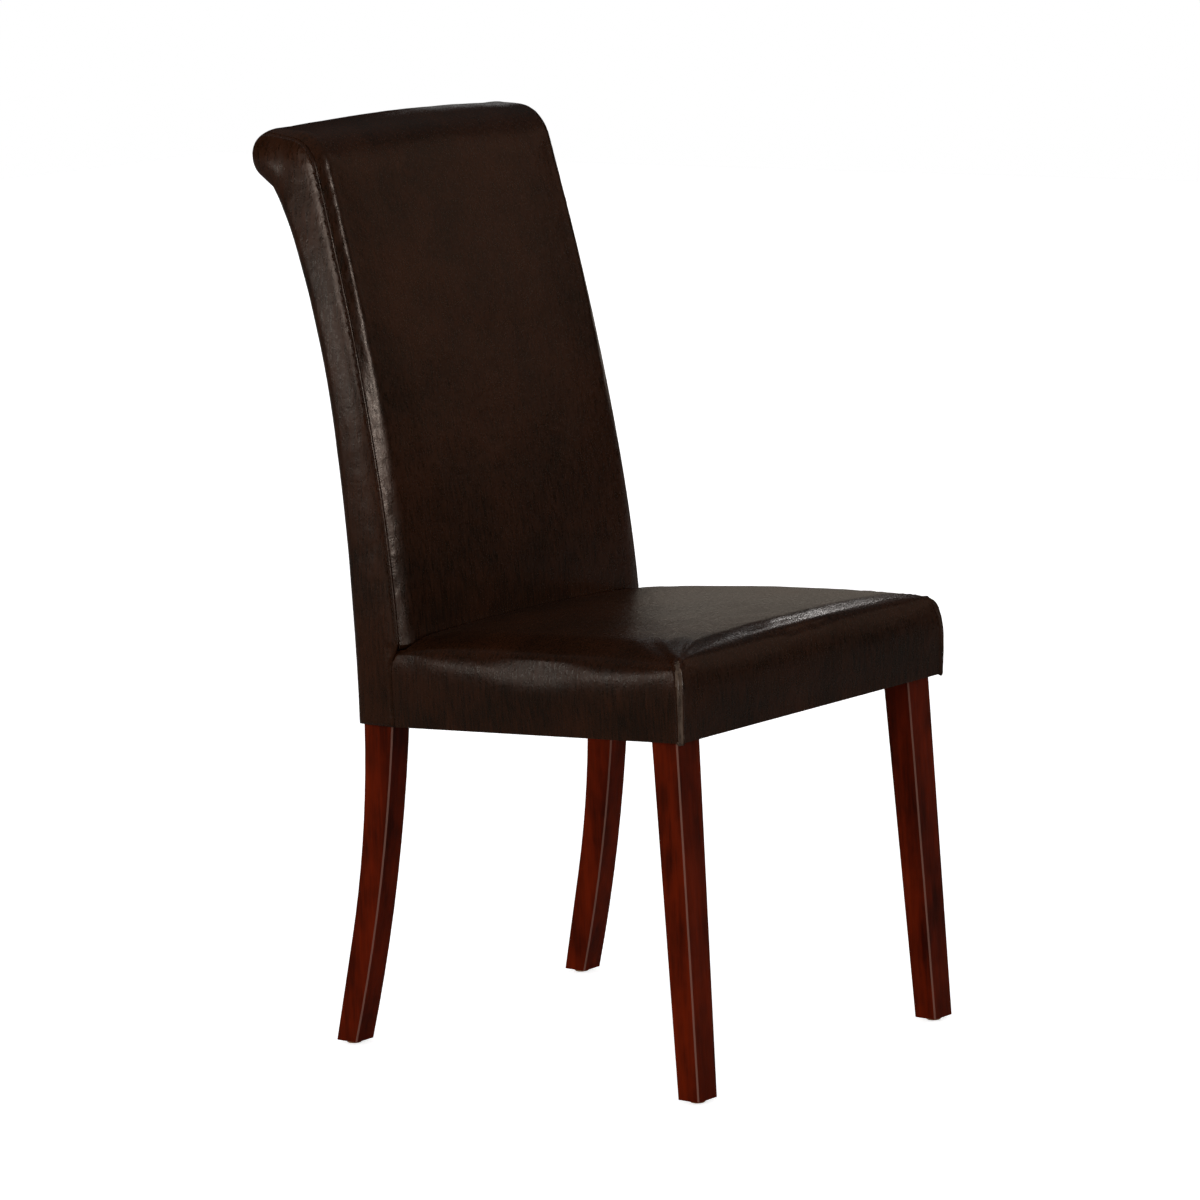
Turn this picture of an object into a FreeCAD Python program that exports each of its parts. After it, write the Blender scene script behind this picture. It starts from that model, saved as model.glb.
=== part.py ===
import FreeCAD, Part
import math
import os
import Sketcher

# Upholstered side chair with a rolled top.
# The sitter faces -Y, the sitter's right is -X, and the floor is Z = 0.
# A hardwood frame stands on two tapered front legs and two one-piece swept rear posts.
# Webbing, foam and wadding lie on the frame, and sewn leather-look covers close it.

# Driving sizes in millimetres, angles in degrees.
SIZES = {
    # feet and glides
    "glide_height": 4.0,
    "glide_radius": 8.5,
    "glide_edge": 1.0,
    "nail_radius": 1.25,
    "nail_length": 14.0,
    # front legs: how far inside the seat cover they stand, how far they splay, and their sections
    "leg_side_inset": 8.6,
    "leg_fore_inset": 12.6,
    "foot_splay": 4.8,
    "foot_kick": 15.8,
    "front_foot_width": 33.0,
    "front_foot_depth": 28.5,
    "front_leg_width": 39.5,
    "front_leg_depth": 35.0,
    "leg_arris": 1.5,
    # seat box: cover outline, height of its lower edge and of its sides
    "seat_fore": 303.8,
    "seat_rear_gap": 0.5,
    "seat_half_front": 234.6,
    "seat_half_rear": 212.0,
    "seat_under_front": 391.5,
    "seat_under_rear": 368.5,
    "seat_side_front": 92.5,
    "seat_side_rear": 96.5,
    "seat_crown": 6.0,
    "seat_edge_radius": 26.0,
    "seat_front_dip": 17.0,
    "seat_front_soft": 34.0,
    # rear posts
    "post_splay": 4.2,
    "rear_foot_depth": 29.7,
    "post_width": 30.0,
    "post_cant": 1.2,
    "foot_rake": 13.0,
    "foot_run": 127.0,
    "leg_bend_radius": 1089.0,
    "leg_front_rake": 16.3,
    "leg_front_radius": 1900.0,
    "leg_front_turn": 13.0,
    # front outline of the back at its side seam, from the seat up, over the top and round the roll
    "seam_fore": 105.5,
    "seam_low": 454.0,
    "seam_lean": 4.0,
    "tuck_run": 14.0,
    "lumbar_radius": 1750.0,
    "lumbar_turn": 5.5,
    "shoulder_radius": 3060.0,
    "shoulder_turn": 5.5,
    "neck_run": 63.0,
    "crest_radius": 42.0,
    "crest_turn": 67.0,
    "top_run": 31.0,
    "roll_radius": 26.0,
    "roll_turn": 153.0,
    "under_run": 24.0,
    # rear outline of the back, from its lower edge up to just below the crease under the roll
    "back_aft": 168.0,
    "rear_low_radius": 2370.0,
    "rear_low_turn": 8.0,
    "rear_high_radius": 1000.0,
    "rear_high_turn": 11.8,
    "crease_fore": 5.0,
    "crease_drop": 8.6,
    # upholstery layers
    "leather": 1.2,
    "clearance": 0.3,
    "side_cover": 3.0,
    "back_foam_depth": 11.0,
    "back_bulge": 8.5,
    "back_crown": 3.5,
    "back_edge_run": 34.0,
    "roll_bulge": 2.5,
    "board_thickness": 1.5,
    "board_gap": 1.0,
    "hem_width": 24.0,
    "dust_cover": 0.6,
    "dust_inset": 10.0,
    # seat frame
    "rail_thickness": 22.0,
    "rail_height": 56.0,
    "block_reach": 48.0,
    "block_height": 25.0,
    "block_drop": 12.0,
    "tenon_thickness": 9.0,
    "tenon_length": 18.0,
    "tenon_shoulder": 8.0,
    "screw_radius": 2.0,
    "screw_length": 38.0,
    "screw_head_radius": 4.0,
    "screw_head_height": 2.4,
    # back frame
    "back_rail_thickness": 20.0,
    "lower_rail_width": 66.0,
    "lower_rail_rise": 56.0,
    "crest_rail_width": 54.0,
    "crest_rail_drop": 34.0,
    # webbing
    "strap_width": 50.0,
    "strap_thickness": 1.5,
    "strap_weave_gap": 0.1,
    "strap_end": 4.0,
    "long_strap_pitch": 110.0,
    "cross_strap_first": 205.0,
    "cross_strap_pitch": 110.0,
    "back_strap_width": 48.0,
    "back_strap_pitch": 96.0,
    "back_strap_first": 150.0,
    "overrun": 5.0,
}

SAME_POINT = 1e-6
FULL_TURN = 360
HALF_TURN = 180
SEAT_STRAPS = 3
BACK_STRAPS = 4


class Size:
    """A length or an angle that carries its number and the sheet formula behind it."""

    def __init__(self, value, text=None):
        self.value = float(value)
        self.text = text if text else "(%r)" % float(value)

    def __add__(self, other):
        other = as_size(other)
        return Size(self.value + other.value, "(%s + %s)" % (self.text, other.text))

    def __sub__(self, other):
        other = as_size(other)
        return Size(self.value - other.value, "(%s - %s)" % (self.text, other.text))

    def __mul__(self, other):
        other = as_size(other)
        return Size(self.value * other.value, "(%s * %s)" % (self.text, other.text))

    def __truediv__(self, other):
        other = as_size(other)
        return Size(self.value / other.value, "(%s / %s)" % (self.text, other.text))

    def __neg__(self):
        return Size(-self.value, "(0 - %s)" % self.text)


def as_size(value):
    return value if isinstance(value, Size) else Size(value)


def sine(angle):
    return Size(math.sin(math.radians(angle.value)), "sin(%s)" % angle.text)


def cosine(angle):
    return Size(math.cos(math.radians(angle.value)), "cos(%s)" % angle.text)


def tangent(angle):
    return Size(math.tan(math.radians(angle.value)), "tan(%s)" % angle.text)


def lean_of(across, up):
    """Lean of the straight line to a place that far behind and that far above."""
    return Size(math.degrees(math.atan2(across.value, up.value)),
                "(atan2(%s; %s) / 1 deg)" % (across.text, up.text))


doc = FreeCAD.newDocument("side_chair")
sheet = doc.addObject("Spreadsheet::Sheet", "Sizes")
for row, (alias, number) in enumerate(SIZES.items(), start=1):
    sheet.set("A%d" % row, alias)
    sheet.set("B%d" % row, str(number))
    sheet.setAlias("B%d" % row, alias)
doc.recompute()


class Sheet:
    """Reads a driving size by its name."""

    def __getattr__(self, alias):
        return Size(SIZES[alias], "Sizes.%s" % alias)


S = Sheet()
nodes = {}

# Sizes that follow from the driving ones: the legs stand inside the seat cover, the posts
# stand behind the seat, and the feet stand out from both.
front_leg_out = S.seat_half_front - S.leg_side_inset
front_leg_fore = S.seat_fore - S.leg_fore_inset
front_foot_out = front_leg_out + S.foot_splay
front_foot_fore = front_leg_fore + S.foot_kick
rear_foot_out = S.seat_half_rear + S.post_splay
seat_aft = S.seam_fore + S.back_foam_depth - S.seat_rear_gap


def keep(label, thing):
    """Names a finished sub-part, which becomes a file of that name."""
    thing.Label = label
    nodes[label] = thing
    return thing


# Profiles in the side view. A profile starts at a point and a lean, measured from
# straight up towards the rear, and goes on by straight runs and bends.

def bend_clockwise(y, z, lean, radius, turn):
    """End of an arc that leans further back as it goes, so its centre is behind it."""
    after = lean + turn
    return y + radius * (cosine(lean) - cosine(after)), z + radius * (sine(after) - sine(lean)), after


def bend_counter(y, z, lean, radius, turn):
    """End of an arc that straightens up as it goes, so its centre is in front of it."""
    after = lean - turn
    return y + radius * (cosine(after) - cosine(lean)), z + radius * (sine(lean) - sine(after)), after


def trace(profile, inset):
    """Corner points and arc radii of a profile moved inwards, to its right, by the inset."""
    y, z, lean, moves = profile
    y = y + inset * cosine(lean)
    z = z - inset * sine(lean)
    corners = [(y, z)]
    arcs = {}
    for kind, first, turn in moves:
        if kind == "run":
            y = y + first * sine(lean)
            z = z + first * cosine(lean)
        elif kind == "back":
            radius = first - inset
            y, z, lean = bend_clockwise(y, z, lean, radius, turn)
            arcs[len(corners) - 1] = (radius, -1)
        else:
            radius = first + inset
            y, z, lean = bend_counter(y, z, lean, radius, turn)
            arcs[len(corners) - 1] = (radius, 1)
        corners.append((y, z))
    return corners, arcs


def stations(profile, steps):
    """Numbers for (y, z, lean) along a profile, each move cut into its own count of steps."""
    y, z, lean, moves = profile
    places = [(y.value, z.value, lean.value)]
    for (kind, first, turn), count in zip(moves, steps):
        for step in range(1, count + 1):
            share = step / count
            if kind == "run":
                far = (y + first * share * sine(lean), z + first * share * cosine(lean), lean)
            else:
                bend = bend_clockwise if kind == "back" else bend_counter
                far = bend(y, z, lean, first, turn * share)
            places.append(tuple(size.value for size in far))
        y, z, lean = far
    return places


def reverse(corners, arcs):
    """The same profile walked the other way."""
    count = len(corners) - 1
    turned = {count - 1 - index: (radius, -sense) for index, (radius, sense) in arcs.items()}
    return corners[::-1], turned


def join(*profiles):
    """One closed outline from open ones, with straight joints between them."""
    corners = []
    arcs = {}
    for part_corners, part_arcs in profiles:
        for index, arc in part_arcs.items():
            arcs[index + len(corners)] = arc
        corners.extend(part_corners)
    return corners, arcs


def drop_repeats(corners, arcs):
    """Leaves out a corner that repeats the one before it, where two profiles meet."""
    kept = []
    kept_arcs = {}
    for index, (y, z) in enumerate(corners):
        if kept:
            before_y, before_z = kept[-1]
            if math.hypot(y.value - before_y.value, z.value - before_z.value) < SAME_POINT:
                kept_arcs.pop(len(kept) - 1, None)
                kept.pop()
        kept.append((y, z))
        if index in arcs:
            kept_arcs[len(kept) - 1] = arcs[index]
    return kept, kept_arcs


nil = Size(0)

SEAM = (S.seam_fore, S.seam_low, S.seam_lean, [
    ("run", S.tuck_run, nil),
    ("back", S.lumbar_radius, S.lumbar_turn),
    ("back", S.shoulder_radius, S.shoulder_turn),
    ("run", S.neck_run, nil),
    ("back", S.crest_radius, S.crest_turn),
    ("run", S.top_run, nil),
    ("back", S.roll_radius, S.roll_turn),
    ("run", S.under_run, nil),
])



def rear_profile():
    """The rear outline: two bends as given, and a third that ends just below the crease."""
    moves = [("back", S.rear_low_radius, S.rear_low_turn), ("back", S.rear_high_radius, S.rear_high_turn)]
    y, z, lean = S.back_aft, S.seat_under_rear, nil
    for kind, radius, turn in moves:
        y, z, lean = bend_clockwise(y, z, lean, radius, turn)
    crease_y, crease_z = trace(SEAM, nil)[0][-1]
    across = crease_y - S.crease_fore - y
    up = crease_z - S.crease_drop - z
    turn = (lean_of(across, up) - lean) * 2
    radius = up / (sine(lean + turn) - sine(lean))
    return S.back_aft, S.seat_under_rear, nil, moves + [("back", radius, turn)]


REAR = rear_profile()


def roll_centre():
    """Centre of the roll in the side view."""
    corners, arcs = trace(SEAM, nil)
    y, z = corners[6]
    lean = S.seam_lean + S.lumbar_turn + S.shoulder_turn + S.crest_turn
    return y + S.roll_radius * cosine(lean), z - S.roll_radius * sine(lean)


def half_back(z):
    """Half the width of the covered back at a height."""
    return rear_foot_out + S.side_cover - z * tangent(S.post_cant)


# Sketches and the features made from them.

def origin_plane(body, role):
    return next(item for item in body.Origin.OriginFeatures if item.Role == role)


def new_body(name):
    return doc.addObject("PartDesign::Body", name)


def pin_point(sketch, constraints, formulas, geometry, position, u, v):
    """Ties one sketch point to its place by two distances from the origin."""
    for kind, axis, size in (("DistanceX", -2, u), ("DistanceY", -1, v)):
        if size.text == nil.text:
            constraints.append(Sketcher.Constraint("PointOnObject", geometry, position, axis))
        elif size.value < 0:
            constraints.append(Sketcher.Constraint(kind, geometry, position, -1, 1, -size.value))
            formulas[len(constraints) - 1] = (-size).text
        else:
            constraints.append(Sketcher.Constraint(kind, -1, 1, geometry, position, size.value))
            formulas[len(constraints) - 1] = size.text


def arc_shape(start, end, radius, sense):
    """Arc of less than a half circle; sense 1 runs anticlockwise, -1 clockwise."""
    chord = end - start
    middle = (start + end) * 0.5
    height = math.sqrt(max(radius * radius - chord.Length * chord.Length / 4, 0))
    side = FreeCAD.Vector(-chord.y, chord.x, 0)
    side.normalize()
    centre = middle + side * (height * sense)
    first, last = (start, end) if sense > 0 else (end, start)
    angles = [math.atan2(point.y - centre.y, point.x - centre.x) for point in (first, last)]
    circle = Part.Circle(centre, FreeCAD.Vector(0, 0, 1), radius)
    return Part.ArcOfCircle(circle, angles[0], angles[1])


def outline_sketch(body, name, role, outline, offset=None, tilt=None):
    """Closed sketch of lines and arcs on one of the body's origin planes."""
    corners, arcs = outline
    sketch = body.newObject("Sketcher::SketchObject", name)
    sketch.AttachmentSupport = [(origin_plane(body, role), "")]
    sketch.MapMode = "FlatFace"
    if offset is not None:
        sketch.AttachmentOffset.Base.z = offset.value
        sketch.setExpression("AttachmentOffset.Base.z", offset.text)
    if tilt is not None:
        sketch.AttachmentOffset.Rotation = FreeCAD.Rotation(FreeCAD.Vector(1, 0, 0), tilt.value)
        sketch.setExpression("AttachmentOffset.Rotation.Angle", tilt.text)
    points = [FreeCAD.Vector(u.value, v.value, 0) for u, v in corners]
    shapes = []
    starts = []
    for index, point in enumerate(points):
        following = points[(index + 1) % len(points)]
        if index in arcs:
            radius, sense = arcs[index]
            shapes.append(arc_shape(point, following, radius.value, sense))
            starts.append((1, 2) if sense > 0 else (2, 1))
        else:
            shapes.append(Part.LineSegment(point, following))
            starts.append((1, 2))
    sketch.addGeometry(shapes, False)
    constraints = []
    formulas = {}
    for index in range(len(points)):
        after = (index + 1) % len(points)
        link = Sketcher.Constraint("Coincident", index, starts[index][1], after, starts[after][0])
        constraints.append(link)
    for index, (u, v) in enumerate(corners):
        pin_point(sketch, constraints, formulas, index, starts[index][0], u, v)
    for index, (radius, sense) in arcs.items():
        constraints.append(Sketcher.Constraint("Radius", index, radius.value))
        formulas[len(constraints) - 1] = radius.text
    sketch.addConstraint(constraints)
    for index, text in formulas.items():
        sketch.setExpression("Constraints[%d]" % index, text)
    return sketch


def circle_sketch(body, name, role, u, v, radius):
    """Sketch of one circle."""
    sketch = body.newObject("Sketcher::SketchObject", name)
    sketch.AttachmentSupport = [(origin_plane(body, role), "")]
    sketch.MapMode = "FlatFace"
    centre = FreeCAD.Vector(u.value, v.value, 0)
    sketch.addGeometry(Part.Circle(centre, FreeCAD.Vector(0, 0, 1), radius.value), False)
    constraints = []
    formulas = {}
    pin_point(sketch, constraints, formulas, 0, 3, u, v)
    constraints.append(Sketcher.Constraint("Radius", 0, radius.value))
    formulas[len(constraints) - 1] = radius.text
    sketch.addConstraint(constraints)
    for index, text in formulas.items():
        sketch.setExpression("Constraints[%d]" % index, text)
    return sketch


def pad(body, name, sketch, length, symmetric=False):
    feature = body.newObject("PartDesign::Pad", name)
    feature.Profile = sketch
    feature.SideType = "Symmetric" if symmetric else "One side"
    feature.Length = length.value
    feature.setExpression("Length", length.text)
    body.Tip = feature
    return feature


def side_pad(name, outline, length, tilt=None, offset=None, symmetric=True):
    """A body padded across the chair from an outline in the side view."""
    body = new_body(name)
    sketch = outline_sketch(body, name + "_outline", "YZ_Plane", outline, offset, tilt)
    pad(body, name + "_pad", sketch, length, symmetric)
    return body


def plan_pad(name, outline, low, high):
    """A body padded upwards from an outline in the plan view."""
    body = new_body(name)
    sketch = outline_sketch(body, name + "_outline", "XY_Plane", outline, low)
    pad(body, name + "_pad", sketch, high - low)
    return body


def boolean(kind, name, base, tool):
    feature = doc.addObject("Part::" + kind, name)
    feature.Base = base
    feature.Tool = tool
    return feature


def mirrored(name, source):
    """The other side's twin of a piece."""
    feature = doc.addObject("Part::Mirroring", name)
    feature.Source = source
    feature.Normal = FreeCAD.Vector(1, 0, 0)
    return feature


def feature_of(name, shape):
    feature = doc.addObject("Part::Feature", name)
    feature.Shape = shape
    return feature


def sharp_quad(*corners):
    return list(corners), {}


# Seat levels along the chair, from the front edge of the seat box to its rear edge.

def seat_share(y):
    return (y + S.seat_fore) / (S.seat_fore + seat_aft)


def under_seat(y):
    """Height of the lower edge of the seat box."""
    return S.seat_under_front + (S.seat_under_rear - S.seat_under_front) * seat_share(y)


def seat_side_height(y):
    return S.seat_side_front + (S.seat_side_rear - S.seat_side_front) * seat_share(y)


def seat_half(y):
    return S.seat_half_front + (S.seat_half_rear - S.seat_half_front) * seat_share(y)


def frame_half(y):
    """Half the width over the side rails: flush with the front leg and with the rear post."""
    front = front_leg_out
    rear = rear_foot_out - (S.seat_under_rear + S.rail_height + S.leather) * tangent(S.post_cant)
    start = S.front_leg_depth - front_leg_fore
    return front + (rear - front) * (y - start) / (seat_aft - start)


# Legs

def eased_rectangle(left, right, fore, aft, bevel):
    """Rectangle in the plan view with its four corners planed off."""
    return [(left + bevel, fore), (right - bevel, fore), (right, fore + bevel),
            (right, aft - bevel), (right - bevel, aft), (left + bevel, aft),
            (left, aft - bevel), (left, fore + bevel)], {}


def build_front_leg():
    """Tapered leg, raked a little forwards and outwards, with a plain block inside the seat."""
    body = new_body("front_leg_body")
    foot = outline_sketch(body, "front_foot", "XY_Plane",
                          eased_rectangle(-front_foot_out, S.front_foot_width - front_foot_out,
                                          -front_foot_fore, S.front_foot_depth - front_foot_fore,
                                          S.leg_arris), S.glide_height)
    inner = S.front_leg_width - front_leg_out
    aft = S.front_leg_depth - front_leg_fore
    top = outline_sketch(body, "front_leg_top", "XY_Plane",
                         eased_rectangle(-front_leg_out, inner, -front_leg_fore, aft, S.leg_arris),
                         S.seat_under_front)
    taper = body.newObject("PartDesign::AdditiveLoft", "front_leg_taper")
    taper.Profile = foot
    taper.Sections = [top]
    taper.Ruled = True
    body.Tip = taper
    block = outline_sketch(body, "front_leg_block", "XY_Plane",
                           eased_rectangle(-front_leg_out, inner, -front_leg_fore, aft, S.leg_arris),
                           S.seat_under_front)
    pad(body, "front_leg_block_pad", block, S.rail_height + S.overrun)
    return body


def heel_reach():
    """How far the heel goes behind the post above it, and where the front of the sole is."""
    heel = S.foot_run * sine(S.foot_rake) + S.leg_bend_radius * (nil + 1 - cosine(S.foot_rake))
    return heel, S.back_aft - S.side_cover + heel - S.rear_foot_depth


def post_outline():
    """Side view of a rear post: swept leg, leaning back post and scroll-shaped head."""
    rake = -S.leg_front_rake
    heel, foot_fore = heel_reach()
    leg_front = (foot_fore, nil, rake, [("back", S.leg_front_radius, S.leg_front_turn)])
    drop = S.foot_run * cosine(S.foot_rake) + S.leg_bend_radius * sine(S.foot_rake)
    foot_back = (S.back_aft - S.side_cover + heel, S.seat_under_rear - drop, -S.foot_rake,
                 [("run", S.foot_run, nil), ("back", S.leg_bend_radius, S.foot_rake)])
    front = trace(SEAM, S.back_foam_depth)
    rear = trace(REAR, -S.side_cover)
    corners, arcs = join(trace(leg_front, nil), front, reverse(*rear), reverse(*trace(foot_back, nil)))
    return drop_repeats(corners, arcs)


def build_rear_post():
    """One-piece rear leg and back post, canted a little inwards towards its head."""
    body = new_body("rear_post_body")
    sketch = outline_sketch(body, "rear_post_outline", "YZ_Plane", post_outline(),
                            -rear_foot_out, S.post_cant)
    post = pad(body, "rear_post_pad", sketch, S.post_width)
    doc.recompute()
    edges = []
    for index, edge in enumerate(post.Shape.Edges, start=1):
        box = edge.BoundBox
        exposed = box.ZMax < S.seat_under_rear.value + S.rail_height.value
        if exposed and box.ZLength > S.rail_height.value:
            edges.append("Edge%d" % index)
    bevel = body.newObject("PartDesign::Chamfer", "rear_post_arris")
    bevel.Base = (post, edges)
    bevel.Size = S.leg_arris.value
    bevel.setExpression("Size", S.leg_arris.text)
    body.Tip = bevel
    sole = outline_sketch(body, "rear_post_sole", "XY_Plane",
                          sharp_quad((-rear_foot_out * 2, nil), (nil, nil),
                                     (nil, S.back_aft * 2), (-rear_foot_out * 2, S.back_aft * 2)),
                          S.glide_height)
    cut = body.newObject("PartDesign::Pocket", "rear_post_foot_cut")
    cut.Profile = sole
    cut.Type = "Length"
    cut.Length = S.overrun.value * 2
    cut.setExpression("Length", (S.overrun * 2).text)
    body.Tip = cut
    return body


front_leg = build_front_leg()
rear_post = build_rear_post()


def build_glide(name, x, y):
    """Nylon disc with a rounded rim and a nail moulded into it."""
    rim = S.glide_radius - S.glide_edge
    top = S.glide_height
    outline = [(nil, nil), (rim, nil), (S.glide_radius, S.glide_edge), (S.glide_radius, top),
               (S.nail_radius, top), (S.nail_radius, top + S.nail_length), (nil, top + S.nail_length)]
    body = new_body(name)
    sketch = outline_sketch(body, name + "_outline", "XZ_Plane", (outline, {}))
    turned = body.newObject("PartDesign::Revolution", name + "_turned")
    turned.Profile = sketch
    turned.ReferenceAxis = (sketch, ["V_Axis"])
    turned.Angle = FULL_TURN
    body.Tip = turned
    body.setExpression("Placement.Base.x", x.text)
    body.setExpression("Placement.Base.y", y.text)
    return body


def foot_centres():
    """Where the glides sit: the middles of the right-hand feet."""
    front = (S.front_foot_width / 2 - front_foot_out, S.front_foot_depth / 2 - front_foot_fore)
    heel, foot_fore = heel_reach()
    rear = (S.post_width / 2 - rear_foot_out, foot_fore + S.rear_foot_depth / 2)
    return front, rear


front_spot, rear_spot = foot_centres()
front_glide = build_glide("front_glide", *front_spot)
rear_glide = build_glide("rear_glide", *rear_spot)
front_right = boolean("Cut", "front_leg_nailed", front_leg, front_glide)
rear_right = boolean("Cut", "rear_post_nailed", rear_post, rear_glide)
keep("glide_front_right", front_glide)
keep("glide_front_left", mirrored("front_glide_twin", front_glide))
keep("glide_rear_right", rear_glide)
keep("glide_rear_left", mirrored("rear_glide_twin", rear_glide))
doc.recompute()


# Seat frame

slab_low = S.seat_under_rear - S.rail_height
slab_high = S.seat_under_front + S.rail_height * 2
leg_inner = front_leg_out - S.front_leg_width
leg_back = S.front_leg_depth - front_leg_fore
post_side = rear_foot_out - S.seat_under_rear * tangent(S.post_cant)
post_inner = post_side - S.post_width
post_front = trace(SEAM, S.back_foam_depth)[0][0][0]
rear_rail_fore = S.back_aft - S.side_cover - S.rail_thickness
front_rail_back = S.rail_thickness - front_leg_fore


def bed(rise):
    """The lower line of the seat in the side view, raised: sloped under the seat, level behind it."""
    fore = -S.seat_fore - S.overrun
    return [(fore, under_seat(fore) + rise), (seat_aft, S.seat_under_rear + rise),
            (S.back_aft, S.seat_under_rear + rise)]


def bed_layer(name, low, high):
    """Everything between two rises over the lower line of the seat."""
    return side_pad(name, (bed(low) + bed(high)[::-1], {}), (S.seat_half_front + S.overrun) * 2)


def layered(name, plan, within, cutters):
    """A flat piece of the seat: its plan outline kept to a layer and cut round its neighbours."""
    piece = boolean("Common", name + "_piece", plan_pad(name + "_plan", plan, slab_low, slab_high), within)
    return coped(name, piece, cutters)


def coped(name, piece, cutters):
    for number, cutter in enumerate(cutters):
        piece = boolean("Cut", "%s_cope_%d" % (name, number), piece, cutter)
    return piece


def grouped(name, members):
    group = doc.addObject("Part::Compound", name)
    group.Links = members
    return group


def rail_inside(y):
    return frame_half(y) - S.rail_thickness


def side_strip(near, far, fore, aft):
    """Plan outline along the right side rail, between two depths from its outer face."""
    return sharp_quad((near - frame_half(fore), fore), (far - frame_half(fore), fore),
                      (far - frame_half(aft), aft), (near - frame_half(aft), aft))


def cross_strip(half, fore, thick):
    """Plan outline straight across the chair."""
    return sharp_quad((-half, fore), (half, fore), (half, fore + thick), (-half, fore + thick))


def tenoned(name, plan, tenon_plan, cutters):
    """A seat rail with a tenon on both ends, and the tenon strip that cuts its mortises."""
    rail = layered(name, plan, rail_layer, cutters)
    tenons = layered(name + "_tenons", tenon_plan, tenon_layer, [])
    return boolean("Fuse", name + "_whole", rail, tenons), tenons


rail_layer = bed_layer("rail_layer", S.leather, S.leather + S.rail_height)
tenon_layer = bed_layer("tenon_layer", S.leather + S.tenon_shoulder, S.leather + S.rail_height - S.tenon_shoulder)
over_rails = bed_layer("over_rails", S.leather + S.rail_height, S.leather + S.rail_height * 2)
rear_left_post = mirrored("rear_post_twin", rear_right)
cheek = (S.rail_thickness - S.tenon_thickness) / 2
post_mortise = post_front + S.overrun
front_rail, front_tenons = tenoned(
    "seat_rail_front", cross_strip(leg_inner, -front_leg_fore, S.rail_thickness),
    cross_strip(leg_inner + S.tenon_length, cheek - front_leg_fore, S.tenon_thickness), [])
rear_rail, rear_tenons = tenoned(
    "seat_rail_rear", cross_strip(post_side - S.post_width / 2, rear_rail_fore, S.rail_thickness),
    cross_strip(post_inner + S.tenon_length, rear_rail_fore + cheek, S.tenon_thickness),
    [rear_right, rear_left_post])
side_rail, side_tenons = tenoned(
    "seat_rail_side", side_strip(nil, S.rail_thickness, leg_back, post_front + S.post_width / 2),
    side_strip(cheek, cheek + S.tenon_thickness, leg_back - S.tenon_length, post_mortise + S.tenon_length),
    [rear_right])

block_top = S.leather + S.rail_height - S.block_drop
block_layer = bed_layer("block_layer", block_top - S.block_height, block_top)
front_reach = leg_back + S.block_reach
front_face = [(S.block_reach - leg_inner, front_rail_back), (-rail_inside(front_reach), front_reach)]
front_block = layered("corner_block_front", sharp_quad(
    (-leg_inner, front_rail_back), *front_face,
    (-rail_inside(leg_back), leg_back), (-leg_inner, leg_back)), block_layer, [])
post_reach = post_front - S.block_reach
rear_face = [(-rail_inside(post_reach), post_reach), (S.block_reach - post_inner, rear_rail_fore)]
rear_block = layered("corner_block_rear", sharp_quad(
    (-post_inner, rear_rail_fore), (-post_inner, post_mortise),
    (-rail_inside(post_front), post_mortise), *rear_face), block_layer, [rear_right, side_rail])


def build_screw(name, first, second):
    """Round-headed screw through the middle of a block's open face, square to it."""
    shank, head = S.screw_radius, S.screw_head_radius
    neck, end = S.screw_length, S.screw_length + S.screw_head_height
    outline = [(nil, nil), (shank, nil), (shank, neck), (head, neck), (head, end), (nil, end)]
    body = new_body(name)
    sketch = outline_sketch(body, name + "_outline", "XZ_Plane", (outline, {}))
    turned = body.newObject("PartDesign::Revolution", name + "_turned")
    turned.Profile = sketch
    turned.ReferenceAxis = (sketch, ["V_Axis"])
    turned.Angle = FULL_TURN
    body.Tip = turned
    along = FreeCAD.Vector(second[0].value - first[0].value, second[1].value - first[1].value, 0)
    outward = along.cross(FreeCAD.Vector(0, 0, 1)).normalize()
    x, y = (first[0] + second[0]) / 2, (first[1] + second[1]) / 2
    level = y if y.value < seat_aft.value else seat_aft
    z = under_seat(level) + block_top - S.block_height / 2
    body.Placement.Rotation = FreeCAD.Rotation(FreeCAD.Vector(0, 0, 1), outward)
    for letter, size in zip("xyz", (x - neck * outward.x, y - neck * outward.y, z)):
        body.setExpression("Placement.Base." + letter, size.text)
    return body


screws = grouped("screws", [build_screw("front_screw", front_face[1], front_face[0]),
                            build_screw("rear_screw", rear_face[1], rear_face[0])])
front_right = coped("front_leg_joint", front_right, [front_tenons, side_tenons, over_rails, screws])
rear_joined = coped("rear_post_joint", rear_right, [side_tenons, rear_tenons, screws])
front_block = coped("front_block_joint", front_block, [screws])
rear_block = coped("rear_block_joint", rear_block, [screws])

# Back frame

head_inset = S.back_foam_depth


def seam_point(move, along, inset):
    """A point and a lean on the seam profile, a length along one of its moves."""
    corners, arcs = trace(SEAM, inset)
    y, z = corners[move]
    lean = S.seam_lean
    for kind, first, turn in SEAM[3][:move]:
        lean = lean + turn
    kind, first, turn = SEAM[3][move]
    if kind == "run":
        return y + along * sine(lean), z + along * cosine(lean), lean
    swing = along / first * HALF_TURN / math.pi
    return bend_clockwise(y, z, lean, first - inset, swing)


def back_board(name, place, width, thickness, half, cutters):
    """A board across the back, flat on the line where the webbing and the foam start."""
    y, z, lean = place
    up_y, up_z = width / 2 * sine(lean), width / 2 * cosine(lean)
    in_y, in_z = thickness * cosine(lean), -(thickness * sine(lean))
    corners = sharp_quad((y - up_y, z - up_z), (y - up_y + in_y, z - up_z + in_z),
                         (y + up_y + in_y, z + up_z + in_z), (y + up_y, z + up_z))
    return coped(name, side_pad(name, corners, half * 2), cutters)


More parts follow.
